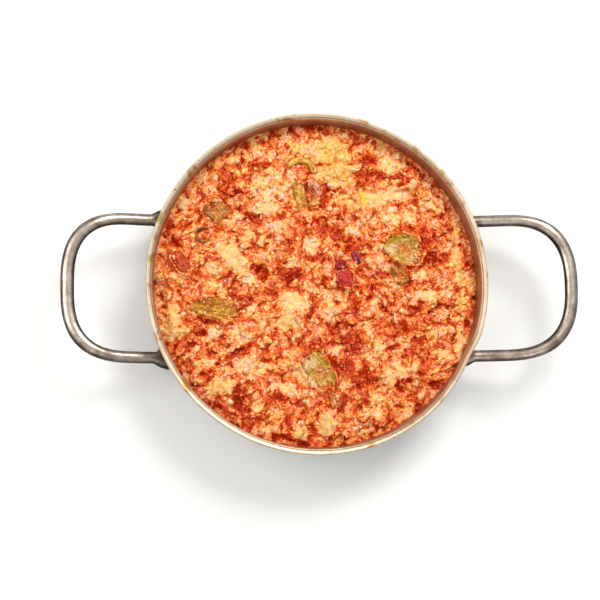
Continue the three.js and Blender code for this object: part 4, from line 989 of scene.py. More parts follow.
def makeBed(material):
    # The food's surface over a disc, then down inside the wall and round the fillet to the floor
    lines = food["gridLines"]
    unitX, unitY = discGrid(lines)
    bearing = np.degrees(np.arctan2(unitY, unitX)) % 360
    edge = innerRadius(food["edge"] + 0.6) + 0.25 - dentAt(bearing, food["edge"] + 0.6)
    x, y = unitX * edge, unitY * edge
    surface = foodSurface(x, y)
    # Steep sides are made redder, partly for juice soaked in and partly as painted shade on the sides of
    # lumps: the slope is the rise along each grid direction over the step's length
    level = surface["level"]
    stepX, stepY = (np.hypot(np.gradient(x, axis=k), np.gradient(y, axis=k)) + 0.05 for k in (1, 0))
    slope = np.hypot(np.gradient(level, axis=1) / stepX, np.gradient(level, axis=0) / stepY)
    soakAndShade = food["slopeSoak"] * np.minimum(slope, 2)
    surface["egg"] = np.clip(surface["egg"] + food["slopeMean"] - soakAndShade, 0, 1)
    points = [np.stack([x, y, level], -1).reshape(-1, 3)]
    index = np.arange(lines * lines).reshape(lines, lines)
    quads = [np.stack([index[:-1, :-1], index[:-1, 1:], index[1:, 1:], index[1:, :-1]], -1).reshape(-1, 4)]
    rim = np.concatenate([index[0, :-1], index[:-1, -1], index[-1, :0:-1], index[:0:-1, 0]])
    turn = np.arctan2(y.ravel()[rim], x.ravel()[rim])
    centreZ = pan["sheet"] + pan["fillet"]
    centreR = innerRadius(centreZ) - pan["fillet"] / np.cos(pan["flare"])
    wallZ = np.array([25.0, 19.0, centreZ])
    wall = np.stack([innerRadius(wallZ) - 0.1, wallZ], -1)
    clearance = 0.3
    bottom = pan["sheet"] + clearance
    corner = arc(centreR, centreZ, pan["fillet"] - clearance, -10, -90, 6)
    down = np.concatenate([wall, corner, [[40.0, bottom]]])
    previous, count = rim, lines * lines
    for radius, z in down:
        points.append(np.stack([radius * np.cos(turn), radius * np.sin(turn), np.full(len(turn), z)], -1))
        ring = count + np.arange(len(rim))
        quads.append(np.stack([previous, ring, np.roll(ring, -1), np.roll(previous, -1)], -1))
        previous, count = ring, count + len(rim)
    points.append([[0, 0, bottom]])
    tris = np.stack([previous, np.full(len(rim), count), np.roll(previous, -1)], -1)
    hidden = np.zeros(count + 1 - lines * lines)
    shades = ("egg", "yolk", "dark")
    attributes = {key: np.concatenate([surface[key].ravel(), hidden]) for key in shades}
    points, quads = np.concatenate(points), np.concatenate(quads)
    piece = addPiece("scrambleBed", points, quads, tris, material, attributes)
    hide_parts("menemen")


def linesOf(tree, size, width):
    # Thin winding lines, where soft noise passes through its middle value
    away = calc(tree, "ABSOLUTE", calc(tree, "SUBTRACT", noiseOf(tree, size, 3, 0.55, distortion=0.6), 0.5))
    return spread(tree, away, width, 0.0)


def scrambleMaterial():
    # The egg attribute, roughened by noise, picks from soaked red to cream; it already holds painted shade,
    # redder in the hollows, on steep sides and under crumbs. With pale threads, red creases that are partly
    # juice and partly painted shade, a rosy or a sunny tinge everywhere, a pink flush here and there, and
    # amber, yolk yellow and lemon where the yolk attribute is
    look = {
        "tomato": "#961402", "pulp": "#b83404", "soaked": "#da5e1e", "orange": "#ea8a46", "peach": "#f1b275",
        "cream": "#f3d6a6", "amber": "#d0760e", "yolk": "#e2aa30", "lemon": "#eed276", "blush": "#ea5c42",
        "dark": "#660c02",
        "rosy": (1.07, 0.8, 1.5, 1.0), "sunny": (0.95, 1.16, 0.56, 1.0),  # times red, green, blue
    }
    material, tree, shader = newMaterial(
        "scramble", SubsurfaceWeight=0.3, SubsurfaceRadius=(1.0, 0.42, 0.16), SubsurfaceScale=0.0009,
        CoatWeight=0.08, CoatRoughness=0.08, SpecularIORLevel=0.06)
    fine = calc(tree, "SUBTRACT", noiseOf(tree, 1.0, 3, 0.65, distortion=0.5), 0.5)
    broad = calc(tree, "SUBTRACT", noiseOf(tree, 3.0, 3, 0.6), 0.5)
    threads, creases = linesOf(tree, 2.3, 0.05), linesOf(tree, 2.9, 0.06)
    amount = read(tree, "egg")
    for change, weight in ((fine, 1.2), (broad, 0.4), (threads, 0.26)):
        amount = calc(tree, "ADD", amount, calc(tree, "MULTIPLY", change, weight))
    # Red creases along the dips of the bump: partly juice, partly painted shade
    amount = calc(tree, "SUBTRACT", amount, calc(tree, "MULTIPLY", creases, 0.34), True)
    colour = rampOf(tree, amount, [
        (0.0, look["tomato"]), (0.17, look["pulp"]), (0.36, look["soaked"]), (0.56, look["orange"]),
        (0.76, look["peach"]), (1.0, look["cream"]),
    ])
    sunny = spread(tree, noiseOf(tree, 2.2, 3, 0.65, distortion=0.5), 0.36, 0.64)
    colour = mixed(tree, 1.0, colour, mixed(tree, sunny, look["rosy"], look["sunny"]), "MULTIPLY")
    blush = calc(tree, "MULTIPLY", spread(tree, noiseOf(tree, 4.5, 4), 0.5, 0.68),
                 spread(tree, amount, 0.9, 0.3))
    colour = mixed(tree, calc(tree, "MULTIPLY", blush, 0.4), colour, hexColour(look["blush"]))
    yolk = calc(tree, "MULTIPLY", read(tree, "yolk"), spread(tree, amount, 0.25, 0.7), True)
    streaky = spread(tree, noiseOf(tree, 3.4, 4, 0.7), 0.34, 0.56, 0.4, 1.15)
    yolk = calc(tree, "MULTIPLY", yolk, streaky, True)
    yolkTone = rampOf(tree, spread(tree, noiseOf(tree, 1.6, 4, 0.65, distortion=0.4), 0.3, 0.68), [
        (0.1, look["amber"]), (0.45, look["yolk"]), (0.9, look["lemon"]),
    ])
    colour = mixed(tree, yolk, colour, yolkTone)
    dark = calc(tree, "MULTIPLY", read(tree, "dark"), 0.3)
    colour = mixed(tree, dark, colour, hexColour(look["dark"]))
    tree.links.new(colour, shader.inputs["Base Color"])
    wet = spread(tree, amount, 0.1, 0.9, 0.34, 0.56)
    tree.links.new(calc(tree, "ADD", wet, calc(tree, "MULTIPLY", fine, 0.2)), shader.inputs["Roughness"])
    ridges = calc(tree, "MULTIPLY", calc(tree, "SUBTRACT", threads, creases), 0.4)
    height = calc(tree, "ADD", noiseOf(tree, 0.8, 4), ridges)
    tree.links.new(bumpOf(tree, height, 0.3, 0.9), shader.inputs["Normal"])
    return material


# Loose crumbs on the bed. "tint" shifts a crumb's shade, and "paler" is how much paler its top is and redder
# its base: partly juice at the base, partly painted shade on the underside.

crumbKinds = {
    "eggCrumbs": {"count": 1200, "from": 0.5, "to": 1.5, "flat": 0.5, "ragged": 0.45, "sink": 0.42,
                  "rows": 6, "columns": 9, "seed": 3, "tint": -0.22, "paler": 1.1},
    "tomatoCrumbs": {"count": 520, "from": 0.5, "to": 1.5, "flat": 0.5, "ragged": 0.36, "sink": 0.26,
                     "rows": 5, "columns": 8, "seed": 8, "tint": 0.0, "paler": 1.1},
    "clingingCrumbs": {"count": 900, "from": 0.4, "to": 1.4, "flat": 0.45, "ragged": 0.5, "sink": 0.34,
                       "rows": 5, "columns": 9, "seed": 13, "tint": -0.22, "paler": 0.7},
}


def turnsOf(draws, count, tilt):
    # Rotation matrices: any turn about +Z after a lean of up to tilt (radians) any way
    spin, way = draws.uniform(0, 2 * np.pi, (2, count))
    lean = draws.uniform(0, tilt, count)
    axis = np.stack([np.cos(way), np.sin(way), np.zeros(count)], -1)
    cross = np.zeros((count, 3, 3))
    cross[:, 0, 1], cross[:, 0, 2], cross[:, 1, 2] = -axis[:, 2], axis[:, 1], -axis[:, 0]
    cross -= np.transpose(cross, (0, 2, 1))
    sine, fallen = np.sin(lean)[:, None, None], (1 - np.cos(lean))[:, None, None]
    leaning = np.eye(3) + sine * cross + fallen * (cross @ cross)
    spinning = np.zeros((count, 3, 3))
    spinning[:, 0, 0] = spinning[:, 1, 1] = np.cos(spin)
    spinning[:, 1, 0], spinning[:, 0, 1], spinning[:, 2, 2] = np.sin(spin), -np.sin(spin), 1
    return leaning @ spinning


def scatter(draws, count, edge):
    # A sunflower spiral with every place nudged
    number = np.arange(count) + draws.uniform(0, 1, count)
    radius = edge * np.sqrt(number / count)
    bearing = number * np.pi * (3 - np.sqrt(5)) + draws.uniform(-0.5, 0.5, count)
    return radius * np.cos(bearing), radius * np.sin(bearing)


def placesOnSlices(draws, count):
    # Even draws over the slices' outlines, by their areas
    ones = list(slices.values())
    areas = np.array([one["length"] * one["width"] for one in ones])
    owner = draws.choice(len(ones), count, p=areas / areas.sum())
    bearing, q = draws.uniform(0, 2 * np.pi, count), np.sqrt(draws.uniform(0, 1.1, count))
    places = [np.array([one[key] for one in ones])[owner] for key in ("x", "y", "angle", "length", "width")]
    centreX, centreY, lean, length, width = places
    along, across = q * np.cos(bearing) * length / 2, q * np.sin(bearing) * width / 2
    lean = np.radians(lean)
    return (centreX + along * np.cos(lean) - across * np.sin(lean),
            centreY + along * np.sin(lean) + across * np.cos(lean))


def makeCrumbs(name, material):
    # Balls whose radius is 1 plus a draw for each point of latitude and longitude, squashed and tipped over.
    # Those of the bed keep off the toppings; those that cling lie in the hollows and along the edges.
    kind = crumbKinds[name]
    draws = np.random.default_rng(kind["seed"])
    clinging = name == "clingingCrumbs"
    if clinging:
        x, y = placesOnSlices(draws, kind["count"])
    else:
        x, y = scatter(draws, kind["count"], innerRadius(food["edge"]) - 1.8)
    surface = foodSurface(x, y)
    cover, top, bank, hollow = toppingsAt(x, y)
    if clinging:
        keep = draws.uniform(0, 1, len(x)) < np.maximum(0.4 * hollow, 0.7 * bank) + 0.03
        keep &= cover > 0.05
    else:
        keep = draws.uniform(0, 1, len(x)) > cover
        keep &= draws.uniform(0, 1, len(x)) > 0.8 * surface["smooth"]
    if name == "tomatoCrumbs":
        keep &= surface["egg"] < 0.45 + 0.3 * draws.uniform(0, 1, len(x))
    x, y = x[keep], y[keep]
    count, rows, columns = len(x), kind["rows"], kind["columns"]
    size = kind["from"] + (kind["to"] - kind["from"]) * draws.uniform(0, 1, count) ** 2.2
    latitude = -np.pi / 2 + np.pi * (np.arange(rows) + 1) / (rows + 1)
    longitude = 2 * np.pi * np.arange(columns) / columns
    ragged = 1 + kind["ragged"] * draws.uniform(-1, 1, (count, rows, columns))
    ball = np.stack([
        np.cos(latitude)[:, None] * np.cos(longitude), np.cos(latitude)[:, None] * np.sin(longitude),
        np.broadcast_to(np.sin(latitude)[:, None], (rows, columns)),
    ], -1)
    poles = np.broadcast_to([[0, 0, -1.0], [0, 0, 1.0]], (count, 2, 3))
    shape = (ball[None] * ragged[..., None]).reshape(count, -1, 3)
    shape = np.concatenate([poles[:, :1], shape, poles[:, 1:]], 1)
    stretch = np.stack([draws.uniform(0.8, 1.6, count), draws.uniform(0.65, 1.05, count),
                        kind["flat"] * draws.uniform(0.8, 1.2, count)], -1)
    shape = shape * (stretch * size[:, None])[:, None]
    shape = np.einsum("nij,npj->npi", turnsOf(draws, count, 0.7), shape)
    rests = surface["level"][keep]
    if clinging:
        rests = np.maximum(rests, top[keep])
    level = rests + size * (kind["flat"] * 0.5 - kind["sink"])
    shape += np.stack([x, y, level], -1)[:, None]
    quads, tris = repeatFaces(*ringFaces(rows, columns), count, rows * columns + 2)
    perPoint = rows * columns + 2
    up = (shape[..., 2] - level[:, None]) / size[:, None]
    egg = surface["egg"][keep] + draws.uniform(-0.12, 0.14, count) + kind["tint"]
    # Paler towards the top, redder towards the base: partly juice taken up, partly painted shade on the
    # underside
    attributes = {
        "egg": np.clip(egg[:, None] + kind["paler"] * up, 0, 1),
        "yolk": np.repeat(surface["yolk"][keep], perPoint),
        "dark": np.zeros(count * perPoint),
    }
    addPiece(name, shape, quads, tris, material, attributes)


flake = {"count": 420, "from": 0.9, "to": 2.6, "thickness": 0.45, "arch": 0.55, "seed": 21}


def makeFlakes(material):
    # Torn petals of egg: a thin disc in polar rings, its rim pulled in and out by draws, bent into an arch
    # of minus its length squared and rippled, then tipped and set into the bed
    draws = np.random.default_rng(flake["seed"])
    x, y = scatter(draws, flake["count"], innerRadius(food["edge"]) - 4.5)
    surface = foodSurface(x, y)
    keep = (surface["cover"] < 0.05) & (surface["smooth"] < 0.6)
    x, y = x[keep], y[keep]
    count, columns = len(x), 10
    around = np.linspace(0, 2 * np.pi, columns, endpoint=False)
    q = np.array([0.55, 0.93, 1.0, 0.93, 0.55])
    side = np.array([1, 0.75, 0, -0.75, -1.0])
    size = flake["from"] + (flake["to"] - flake["from"]) * draws.uniform(0, 1, count) ** 1.6
    rim = 1 + 0.34 * draws.uniform(-1, 1, (count, columns))
    u = q[None, :, None] * np.cos(around) * rim[:, None] * draws.uniform(1.0, 1.5, count)[:, None, None]
    v = q[None, :, None] * np.sin(around) * rim[:, None] * draws.uniform(0.55, 0.9, count)[:, None, None]
    ripple = 0.16 * np.sin(5 * u + draws.uniform(0, 6, count)[:, None, None]) * np.cos(4 * v)
    w = ripple - flake["arch"] * draws.uniform(0.3, 1, count)[:, None, None] * (u ** 2 + 0.6 * v ** 2)
    w = w * size[:, None, None] + side[None, :, None] * flake["thickness"] / 2
    shape = np.stack([u * size[:, None, None], v * size[:, None, None], w], -1)
    first, last = shape[:, 0].mean(1, keepdims=True), shape[:, -1].mean(1, keepdims=True)
    shape = np.concatenate([first, shape.reshape(count, -1, 3), last], 1)
    shape = np.einsum("nij,npj->npi", turnsOf(draws, count, 0.75), shape)
    level = surface["level"][keep] + 0.16 * size
    shape += np.stack([x, y, level], -1)[:, None]
    quads, tris = repeatFaces(*ringFaces(len(q), columns), count, len(q) * columns + 2)
    perPoint = len(q) * columns + 2
    up = (shape[..., 2] - level[:, None]) / size[:, None]
    egg = surface["egg"][keep] + draws.uniform(-0.16, 0.12, count)
    # Paler towards the top, redder underneath: partly juice taken up, partly painted shade on the underside
    attributes = {
        "egg": np.clip(egg[:, None] + 0.9 * up, 0, 1), "yolk": np.repeat(surface["yolk"][keep], perPoint),
        "dark": np.zeros(count * perPoint),
    }
    addPiece("eggFlakes", shape, quads[:, ::-1], tris[:, ::-1], material, attributes)


def pulpMaterial(name, stops, subsurface, roughness):
    # Wet translucent flesh, its colour clouded by noise
    material, tree, shader = newMaterial(
        name, SubsurfaceWeight=subsurface, SubsurfaceRadius=(1.0, 0.25, 0.12), SubsurfaceScale=0.0015,
        CoatWeight=0.3, CoatRoughness=0.1, SpecularIORLevel=0.4)
    cloud = calc(tree, "ADD", calc(tree, "MULTIPLY", noiseOf(tree, 2.4, 4), 0.7),
                 calc(tree, "MULTIPLY", noiseOf(tree, 0.7, 3), 0.4))
    tree.links.new(rampOf(tree, cloud, stops), shader.inputs["Base Color"])
    tree.links.new(spread(tree, noiseOf(tree, 1.2, 3), 0.3, 0.7, roughness, roughness + 0.2),
                   shader.inputs["Roughness"])
    tree.links.new(bumpOf(tree, noiseOf(tree, 0.9, 4), 0.25, 0.6), shader.inputs["Normal"])
    return material


scramble = scrambleMaterial()
tomatoPulp = pulpMaterial("tomatoPulp", [(0.25, "#9a2404"), (0.5, "#c4400f"), (0.75, "#e26a30")], 0.2, 0.3)
makeBed(scramble)
makeCrumbs("eggCrumbs", scramble)
makeCrumbs("tomatoCrumbs", tomatoPulp)
makeCrumbs("clingingCrumbs", scramble)
makeFlakes(scramble)
print("food made")


# Toppings

# Screen colours: flesh and pulp in three tones from dark to pale, skin in two, and the paler places' own
finishes = {
    "pepperFlesh": {"flesh": ("#84560f", "#b28426", "#e4bc70"), "skin": ("#7c5408", "#be9216"),
                    "pulp": ("#984c0c", "#cc7c26", "#f0b468"), "pale": "#d8be92", "slot": "pepper"},
    "pepperOlive": {"flesh": ("#84480a", "#b47614", "#e8b652"), "skin": ("#84460a", "#b87614"),
                    "pulp": ("#80360a", "#b0621c", "#e2a050"), "pale": "#a4622c", "slot": "pepper"},
    "pepperTan": {"flesh": ("#844010", "#b46c26", "#e2a456"), "skin": ("#6c3608", "#a66812"),
                  "pulp": ("#8c3e0e", "#c46a26", "#eca052"), "pale": "#be8a50", "slot": "pepper"},
    "pepperSkin": {"flesh": ("#9c681a", "#c68a34", "#eebe6a"), "skin": ("#8e560c", "#be8424"),
                   "pulp": ("#94541c", "#b8742a", "#e0a050"), "slot": "pepper"},
    "pepperBrown": {"flesh": ("#48200a", "#7c4412", "#b07434"), "skin": ("#3c1a04", "#6c380e"),
                    "pulp": ("#6c300a", "#8c4c14", "#b87434"), "slot": "pepper"},
    "tomatoFlesh": {"flesh": ("#8a1010", "#b4241e", "#d64c3e"), "skin": ("#c8685a", "#eca694"),
                    "pulp": ("#941a14", "#b42222", "#d64c42"), "slot": "tomato"},
    "tomatoPulp": {"flesh": ("#841c06", "#b03a12", "#e2703a"), "skin": ("#96200a", "#c04020"),
                   "pulp": ("#8a2408", "#b63c12", "#e26a2c"), "slot": "tomato"},
    "tomatoSkin": {"flesh": ("#a84a2e", "#d08058", "#f0b492"), "skin": ("#b04424", "#d87a58"),
                   "pulp": ("#b0401f", "#d88560", "#f0b492"), "slot": "tomato"},
    "onionRed": {"flesh": ("#5c0a1c", "#8c1a2a", "#b84448"), "skin": ("#a0606a", "#dca49e"),
                 "pulp": ("#640e1c", "#9c2030", "#c04c50"), "slot": "onion"},
    "onionPink": {"flesh": ("#b45a38", "#dc8a66", "#fac6a8"), "skin": ("#4c200a", "#8c441a"),
                  "pulp": ("#6c300c", "#984c20", "#c47c48"), "slot": "onion"},
    "onionBrown": {"flesh": ("#884010", "#bc6a2a", "#ecb070"), "skin": ("#6c2c0a", "#9c5620"),
                   "pulp": ("#742c08", "#a8501c", "#dc8c4c"), "slot": "onion"},
}


rimShade = "#3c1402"


def middleTone(first, second):
    # The mean of two screen colours
    return tuple((np.array(hexColour(first)) + np.array(hexColour(second))) / 2)


def toppingMaterial(name):
    # Wet cooked vegetable: flesh blotched and drawn out in fibres, a skin whose edge is broken by noise,
    # hollows with grains of egg in them, and a painted shadow line along parts of the rim
    look = finishes[name]
    material, tree, shader = newMaterial(
        name, SubsurfaceWeight=0.15, SubsurfaceRadius=(1.0, 0.5, 0.2), SubsurfaceScale=0.0006,
        CoatWeight=0.15, CoatRoughness=0.1, SpecularIORLevel=0.15)
    along = calc(tree, "MULTIPLY", read(tree, "along"), 0.22)
    alongFibres = node(tree, "CombineXYZ", {0: along, 1: read(tree, "across"), 2: 0.0}).outputs[0]
    fibres = noiseOf(tree, 1.1, 3, 0.6, vector=alongFibres, distortion=0.5)
    blotches = noiseOf(tree, 2.6, 4, 0.65, distortion=0.8)
    fine = noiseOf(tree, 0.9, 3, 0.65)
    cloud = calc(tree, "ADD", calc(tree, "MULTIPLY", blotches, 0.6), calc(tree, "MULTIPLY", fine, 0.2))
    cloud = calc(tree, "ADD", cloud, calc(tree, "MULTIPLY", fibres, 0.75))
    tone = spread(tree, cloud, 0.58, 0.96)
    torn = calc(tree, "MULTIPLY", calc(tree, "SUBTRACT", noiseOf(tree, 1.9, 5, 0.65), 0.5), 1.8)
    uneven = calc(tree, "MULTIPLY", calc(tree, "SUBTRACT", noiseOf(tree, 4.6, 2), 0.5), 2.0)
    torn = calc(tree, "ADD", torn, uneven)
    dark, middle, pale = look["flesh"]
    colour = rampOf(tree, tone, [(0.12, dark), (0.48, middle), (0.86, pale)])
    if "pale" in look:
        paleness = spread(tree, calc(tree, "ADD", read(tree, "pale"), torn), 0.35, 0.8)
        paleTone = mixed(tree, tone, middleTone(look["pale"], middle), hexColour(look["pale"]))
        colour = mixed(tree, paleness, colour, paleTone)
    pulpAmount = spread(tree, calc(tree, "ADD", read(tree, "pulp"), torn), 0.3, 0.75)
    grains = calc(tree, "ADD", calc(tree, "MULTIPLY", fine, 0.7), calc(tree, "MULTIPLY", blotches, 0.3))
    pulpTone = rampOf(tree, spread(tree, grains, 0.34, 0.66), list(zip((0.15, 0.5, 0.85), look["pulp"])))
    colour = mixed(tree, pulpAmount, colour, pulpTone)
    skinTone = rampOf(tree, tone, [(0.2, look["skin"][0]), (0.7, look["skin"][1])])
    skinAmount = calc(tree, "ADD", read(tree, "skin"), calc(tree, "MULTIPLY", torn, 0.6))
    colour = mixed(tree, spread(tree, skinAmount, 0.35, 0.6), colour, skinTone)
    # A painted shadow line along parts of the rim, broken up by noise
    rimShare = spread(tree, noiseOf(tree, 6, 2), 0.45, 0.58, 0.1, 0.9)
    rimShadowAmount = calc(tree, "MULTIPLY", read(tree, "rim"), rimShare)
    colour = mixed(tree, rimShadowAmount, colour, middleTone(rimShade, dark))
    tree.links.new(colour, shader.inputs["Base Color"])
    tree.links.new(spread(tree, noiseOf(tree, 1.4, 3), 0.3, 0.7, 0.25, 0.5), shader.inputs["Roughness"])
    crumbly = calc(tree, "MULTIPLY", fine, pulpAmount)
    height = noiseOf(tree, 1.2, 4)
    for part, weight in ((fibres, 0.8), (crumbly, 1.2)):
        height = calc(tree, "ADD", height, calc(tree, "MULTIPLY", part, weight))
    tree.links.new(bumpOf(tree, height, 0.6, 1.0), shader.inputs["Normal"])
    return material


def raggedEdge(one, around):
    # Soft noise on circles of three sizes, so that the outline closes
    cosine, sine = np.cos(around), np.sin(around)
    shape = np.ones_like(around)
    for reach, share in ((1.6, 0.06), (3.6, 0.06), (8.0, 0.05)):
        shape += share * softNoise(reach * cosine + one["x"], reach * sine + one["y"], 1.0, 11)
    return shape


def makeSlice(name, material):
    # Rings |u|^n + |v|^n = q^n from the middle of the top out to the edge, round it on a half circle and
    # back underneath; lifted by cup times v^2 and bow times u^2, blistered and wrinkled by noise, sunk by
    # the hollow's bell and, here and there, along the edge
    one = slices[name]
    columns, inner, power = 112, 0.92, cornerPower(one)
    around = np.linspace(0, 2 * np.pi, columns, endpoint=False)
    outline = (np.abs(np.cos(around)) ** power + np.abs(np.sin(around)) ** power) ** (-1 / power)
    flat, bend = np.linspace(0.04, inner, 24), np.linspace(np.pi / 2, -np.pi / 2, 9)[1:-1]
    under = np.linspace(0.1, inner, 8)
    q = np.concatenate([flat, inner + (1 - inner) * np.cos(bend), under[::-1]])[:, None]
    side = np.concatenate([np.ones(len(flat)), np.sin(bend), -np.ones(len(under))])[:, None]
    ragged = raggedEdge(one, around) * outlineShare(one, around)
    u = q * np.cos(around) * outline * ragged
    v = q * np.sin(around) * outline * ragged
    v = v * (1 + one.get("taper", 0) * u)
    lean = np.radians(one["angle"])
    x = one["x"] + u * one["length"] / 2 * np.cos(lean) - v * one["width"] / 2 * np.sin(lean)
    y = one["y"] + u * one["length"] / 2 * np.sin(lean) + v * one["width"] / 2 * np.cos(lean)
    start, end, width = one.get("skin", (0, 0, 1))
    bearing = (np.degrees(around) - start) % 360
    span = (end - start) % 360
    fade = 25  # degrees over which the skin comes and goes; with no span there is none at all
    within = smoothStep(bearing, 0, fade) * (1 - smoothStep(bearing, span - fade, span))
    fromEdge = (1 - q) * np.minimum(one["width"], one["length"]) / 2
    skin = within * (1 - smoothStep(fromEdge, width * 0.5, width * 1.2))
    skin = np.maximum(skin, np.broadcast_to(side < -0.5, skin.shape))
    pulp = pulpAt(one, u, v)
    blisters = 0.9 * (billow(x, y, 3.0, 12, 2) - 0.5) + 0.3 * softNoise(x, y, 1.1, 13)
    z = sliceTop(one, u, v) - one["thickness"] * (1 - side) / 2
    z += np.where(side > 0, (blisters * (1 - 0.5 * skin) + 0.3 * skin) * side, 0)
    z += pulp * pulpDepth(one) * (1 - np.maximum(side, 0))
    sag = 1.5 * smoothStep(q, 0.66, 1.0) * np.maximum(softNoise(x, y, 5.0, 16) + 0.15, 0)
    z -= sag * np.maximum(side, 0)
    quads, tris = ringFaces(len(q), columns)
    quads, tris = quads[:, ::-1], tris[:, ::-1]
    # Where the painted shadow line goes: just inside the edge, on the top and sides
    rim = smoothStep(fromEdge, 0.8, 0.1) * (side > -0.5)
    attributes = {
        "skin": atPoints(skin), "pulp": atPoints(pulp * (side > 0)), "pale": atPoints(paleAt(one, u, v)),
        "rim": atPoints(rim + 0 * u), "along": atPoints(u * one["length"] / 2 * mm),
        "across": atPoints(v * one["width"] / 2 * mm),
    }
    piece = addPiece(name + "Slice", withPoles(np.stack([x, y, z], -1)), quads, tris, material, attributes)
    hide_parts(name)


def atPoints(values):
    # A value for each point of the rings, with the first and last ring's mean for the poles
    return np.concatenate([[values[0].mean()], values.ravel(), [values[-1].mean()]])


def sweptPiece(name, path, halfWidth, halfHeight, columns, material, skinSide):
    # An oval section carried along a level path; its corners are squared by a power of the sine and
    # cosine, and it narrows to rounded ends by sqrt(1 - t^2)
    tangent = np.gradient(path, axis=0)
    tangent /= np.linalg.norm(tangent, axis=1, keepdims=True)
    far = np.concatenate([[0], np.cumsum(np.linalg.norm(np.diff(path, axis=0), axis=1))])
    fromEnd = np.minimum(far, far[-1] - far)
    taper = np.sqrt(np.clip(1 - (1 - np.clip(fromEnd / halfWidth, 0, 1)) ** 2, 0.02, 1))
    sideways = np.cross([0, 0, 1], tangent)
    around = np.linspace(0, 2 * np.pi, columns, endpoint=False)
    across = np.sign(np.cos(around)) * np.abs(np.cos(around)) ** 0.6
    over = np.sign(np.sin(around)) * np.abs(np.sin(around)) ** 0.6
    rings = path[:, None] + sideways[:, None] * (halfWidth * taper[:, None] * across)[..., None]
    rings[..., 2] += halfHeight * np.sqrt(taper)[:, None] * over
    wrinkle = 0.5 * softNoise(rings[..., 0], rings[..., 1], 2.2, 14)
    wrinkle += 0.25 * softNoise(far[:, None], around * 2, 1.1, 15)
    rings[..., 2] += wrinkle * (over > 0)
    quads, tris = ringFaces(len(path), columns)
    skin = np.broadcast_to(smoothStep(skinSide * np.cos(around), 0.55, 0.9), rings.shape[:2])
    attributes = {
        "skin": atPoints(skin), "along": atPoints(np.broadcast_to(far[:, None] * mm, skin.shape)),
        "across": atPoints(np.broadcast_to(np.cos(around) * halfWidth * mm, skin.shape)),
    }
    return addPiece(name, withPoles(rings), quads, tris, material, attributes)


def makeCurl(name, material):
    # A section carried along part of a circle, level with its seat
    one = curls[name]
    turn = np.radians(np.linspace(one["from"], one["to"], 90))
    radius = one["outer"] - one["wall"] / 2
    z = seatOf(one, seating["curlSink"]) + one["height"] / 2
    x, y = one["x"] + radius * np.cos(turn), one["y"] + radius * np.sin(turn)
    path = np.stack([x, y, np.full(len(turn), z)], -1)
    piece = sweptPiece(name + "Curl", path, one["wall"] / 2, one["height"] / 2, 36, material,
                       one["skinSide"])
    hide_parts(name)


def makeSkinStrip(material):
    # A thin upright section carried along the strip's parabola, at the mound's height less its sink
    line = stripLine(70)
    z = moundAt(line[:, 0], line[:, 1]) - skinStrip["sink"] + skinStrip["height"] / 2
    path = np.concatenate([line, z[:, None]], 1)
    halfWidth, halfHeight = skinStrip["thickness"] / 2, skinStrip["height"] / 2
    piece = sweptPiece("tomatoSkinStrip", path, halfWidth, halfHeight, 24, material, 1)
    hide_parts("tomato_skin")


toppingLooks = {name: toppingMaterial(name) for name in finishes}
for name, one in slices.items():
    makeSlice(name, toppingLooks[one["finish"]])
for name, one in curls.items():
    makeCurl(name, toppingLooks[one["finish"]])
makeSkinStrip(toppingLooks["tomatoSkin"])
print("toppings made")


# Camera, light and floor, from the photograph's view

view = {
    "from": (-114.9, -112.37, 911.33), "to": (-10.19, -9.46, 40.0), "up": (0.01483, 0.99989, 0.0),
    "lens": 102.33,
}
light = {
    "key": {"at": (0.42, 0.80, 1.05), "size": 0.6, "power": 14.2, "colour": (1.0, 0.96, 0.90)},
    "fill": {"at": (-0.95, 0.15, 1.0), "size": 0.9, "power": 7.9, "colour": (1.0, 0.96, 0.90)},
    "back": {"at": (0.1, -1.1, 1.2), "size": 0.8, "power": 2.9, "colour": (1.0, 0.97, 0.92)},
}
# Brightness level with the floor, overhead, and where the camera sees it
sky = {"low": 0.10, "high": 0.75, "camera": 1.0, "lit": (1.0, 0.95, 0.87, 1), "seen": (1, 1, 1, 1)}
floorTones = ((0.86, 0.885, 0.92, 1), (0.89, 0.915, 0.95, 1))


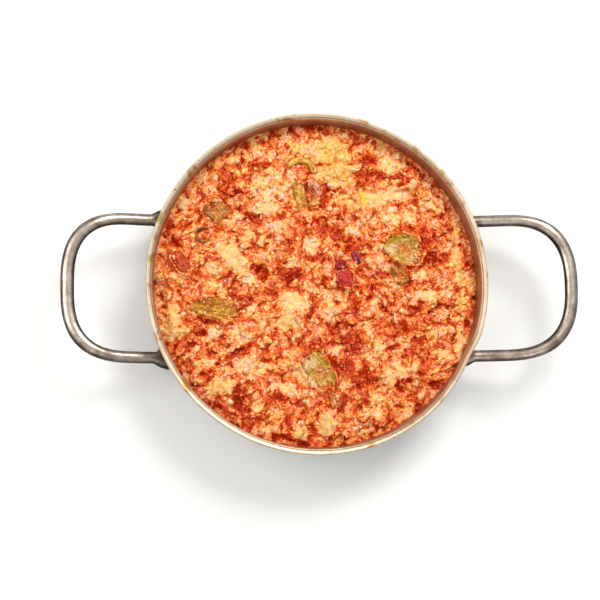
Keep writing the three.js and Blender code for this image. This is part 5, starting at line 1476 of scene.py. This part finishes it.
def makeCamera():
    # Stands at one point, looks at another, and is turned so that "up" is up in the picture
    camera = bpy.data.objects.new("camera", bpy.data.cameras.new("camera"))
    bpy.context.collection.objects.link(camera)
    camera.data.lens = view["lens"]
    camera.data.clip_end = 20
    start, target = Vector(view["from"]) * mm, Vector(view["to"]) * mm
    ahead = (target - start).normalized()
    right = ahead.cross(Vector(view["up"])).normalized()
    turned = Matrix((right, right.cross(ahead), -ahead)).transposed()
    camera.matrix_world = Matrix.LocRotScale(start, turned, None)
    bpy.context.scene.camera = camera


def makeLights():
    # Square lamps that face the origin, and the sky
    for name, one in light.items():
        lamp = bpy.data.lights.new(name, "AREA")
        lamp.energy, lamp.size, lamp.color = one["power"], one["size"], one["colour"]
        holder = bpy.data.objects.new(name, lamp)
        bpy.context.collection.objects.link(holder)
        holder.location = one["at"]
        holder.rotation_euler = (-Vector(one["at"])).to_track_quat("-Z", "Y").to_euler()
    # The sky brightens from the floor's level to overhead, and is plain where the camera sees it
    world = bpy.data.worlds.new("studio")
    bpy.context.scene.world = world
    world.use_nodes = True
    tree = world.node_tree
    up = node(tree, "SeparateXYZ", {0: node(tree, "TexCoord").outputs["Generated"]}).outputs[2]
    seen = node(tree, "LightPath").outputs["Is Camera Ray"]
    brightness = spread(tree, up, 0.0, 0.95, sky["low"], sky["high"])
    strength = node(tree, "Mix", {0: seen, 2: brightness, 3: sky["camera"]})
    background = tree.nodes["Background"]
    tree.links.new(mixed(tree, seen, sky["lit"], sky["seen"]), background.inputs["Color"])
    tree.links.new(strength.outputs[0], background.inputs["Strength"])


def makeFloor():
    # A pale matt floor, slightly clouded, that is no part of the object
    bpy.ops.mesh.primitive_plane_add(size=6, location=(0, 0, 0))
    floor = bpy.context.object
    floor.name = "floor"
    material, tree, shader = newMaterial("floorPaint", Roughness=0.7)
    tree.links.new(mixed(tree, noiseOf(tree, 60, 2), *floorTones), shader.inputs["Base Color"])
    floor.data.materials.append(material)


makeCamera()
makeLights()
makeFloor()
bpy.context.scene.view_settings.view_transform = "Standard"
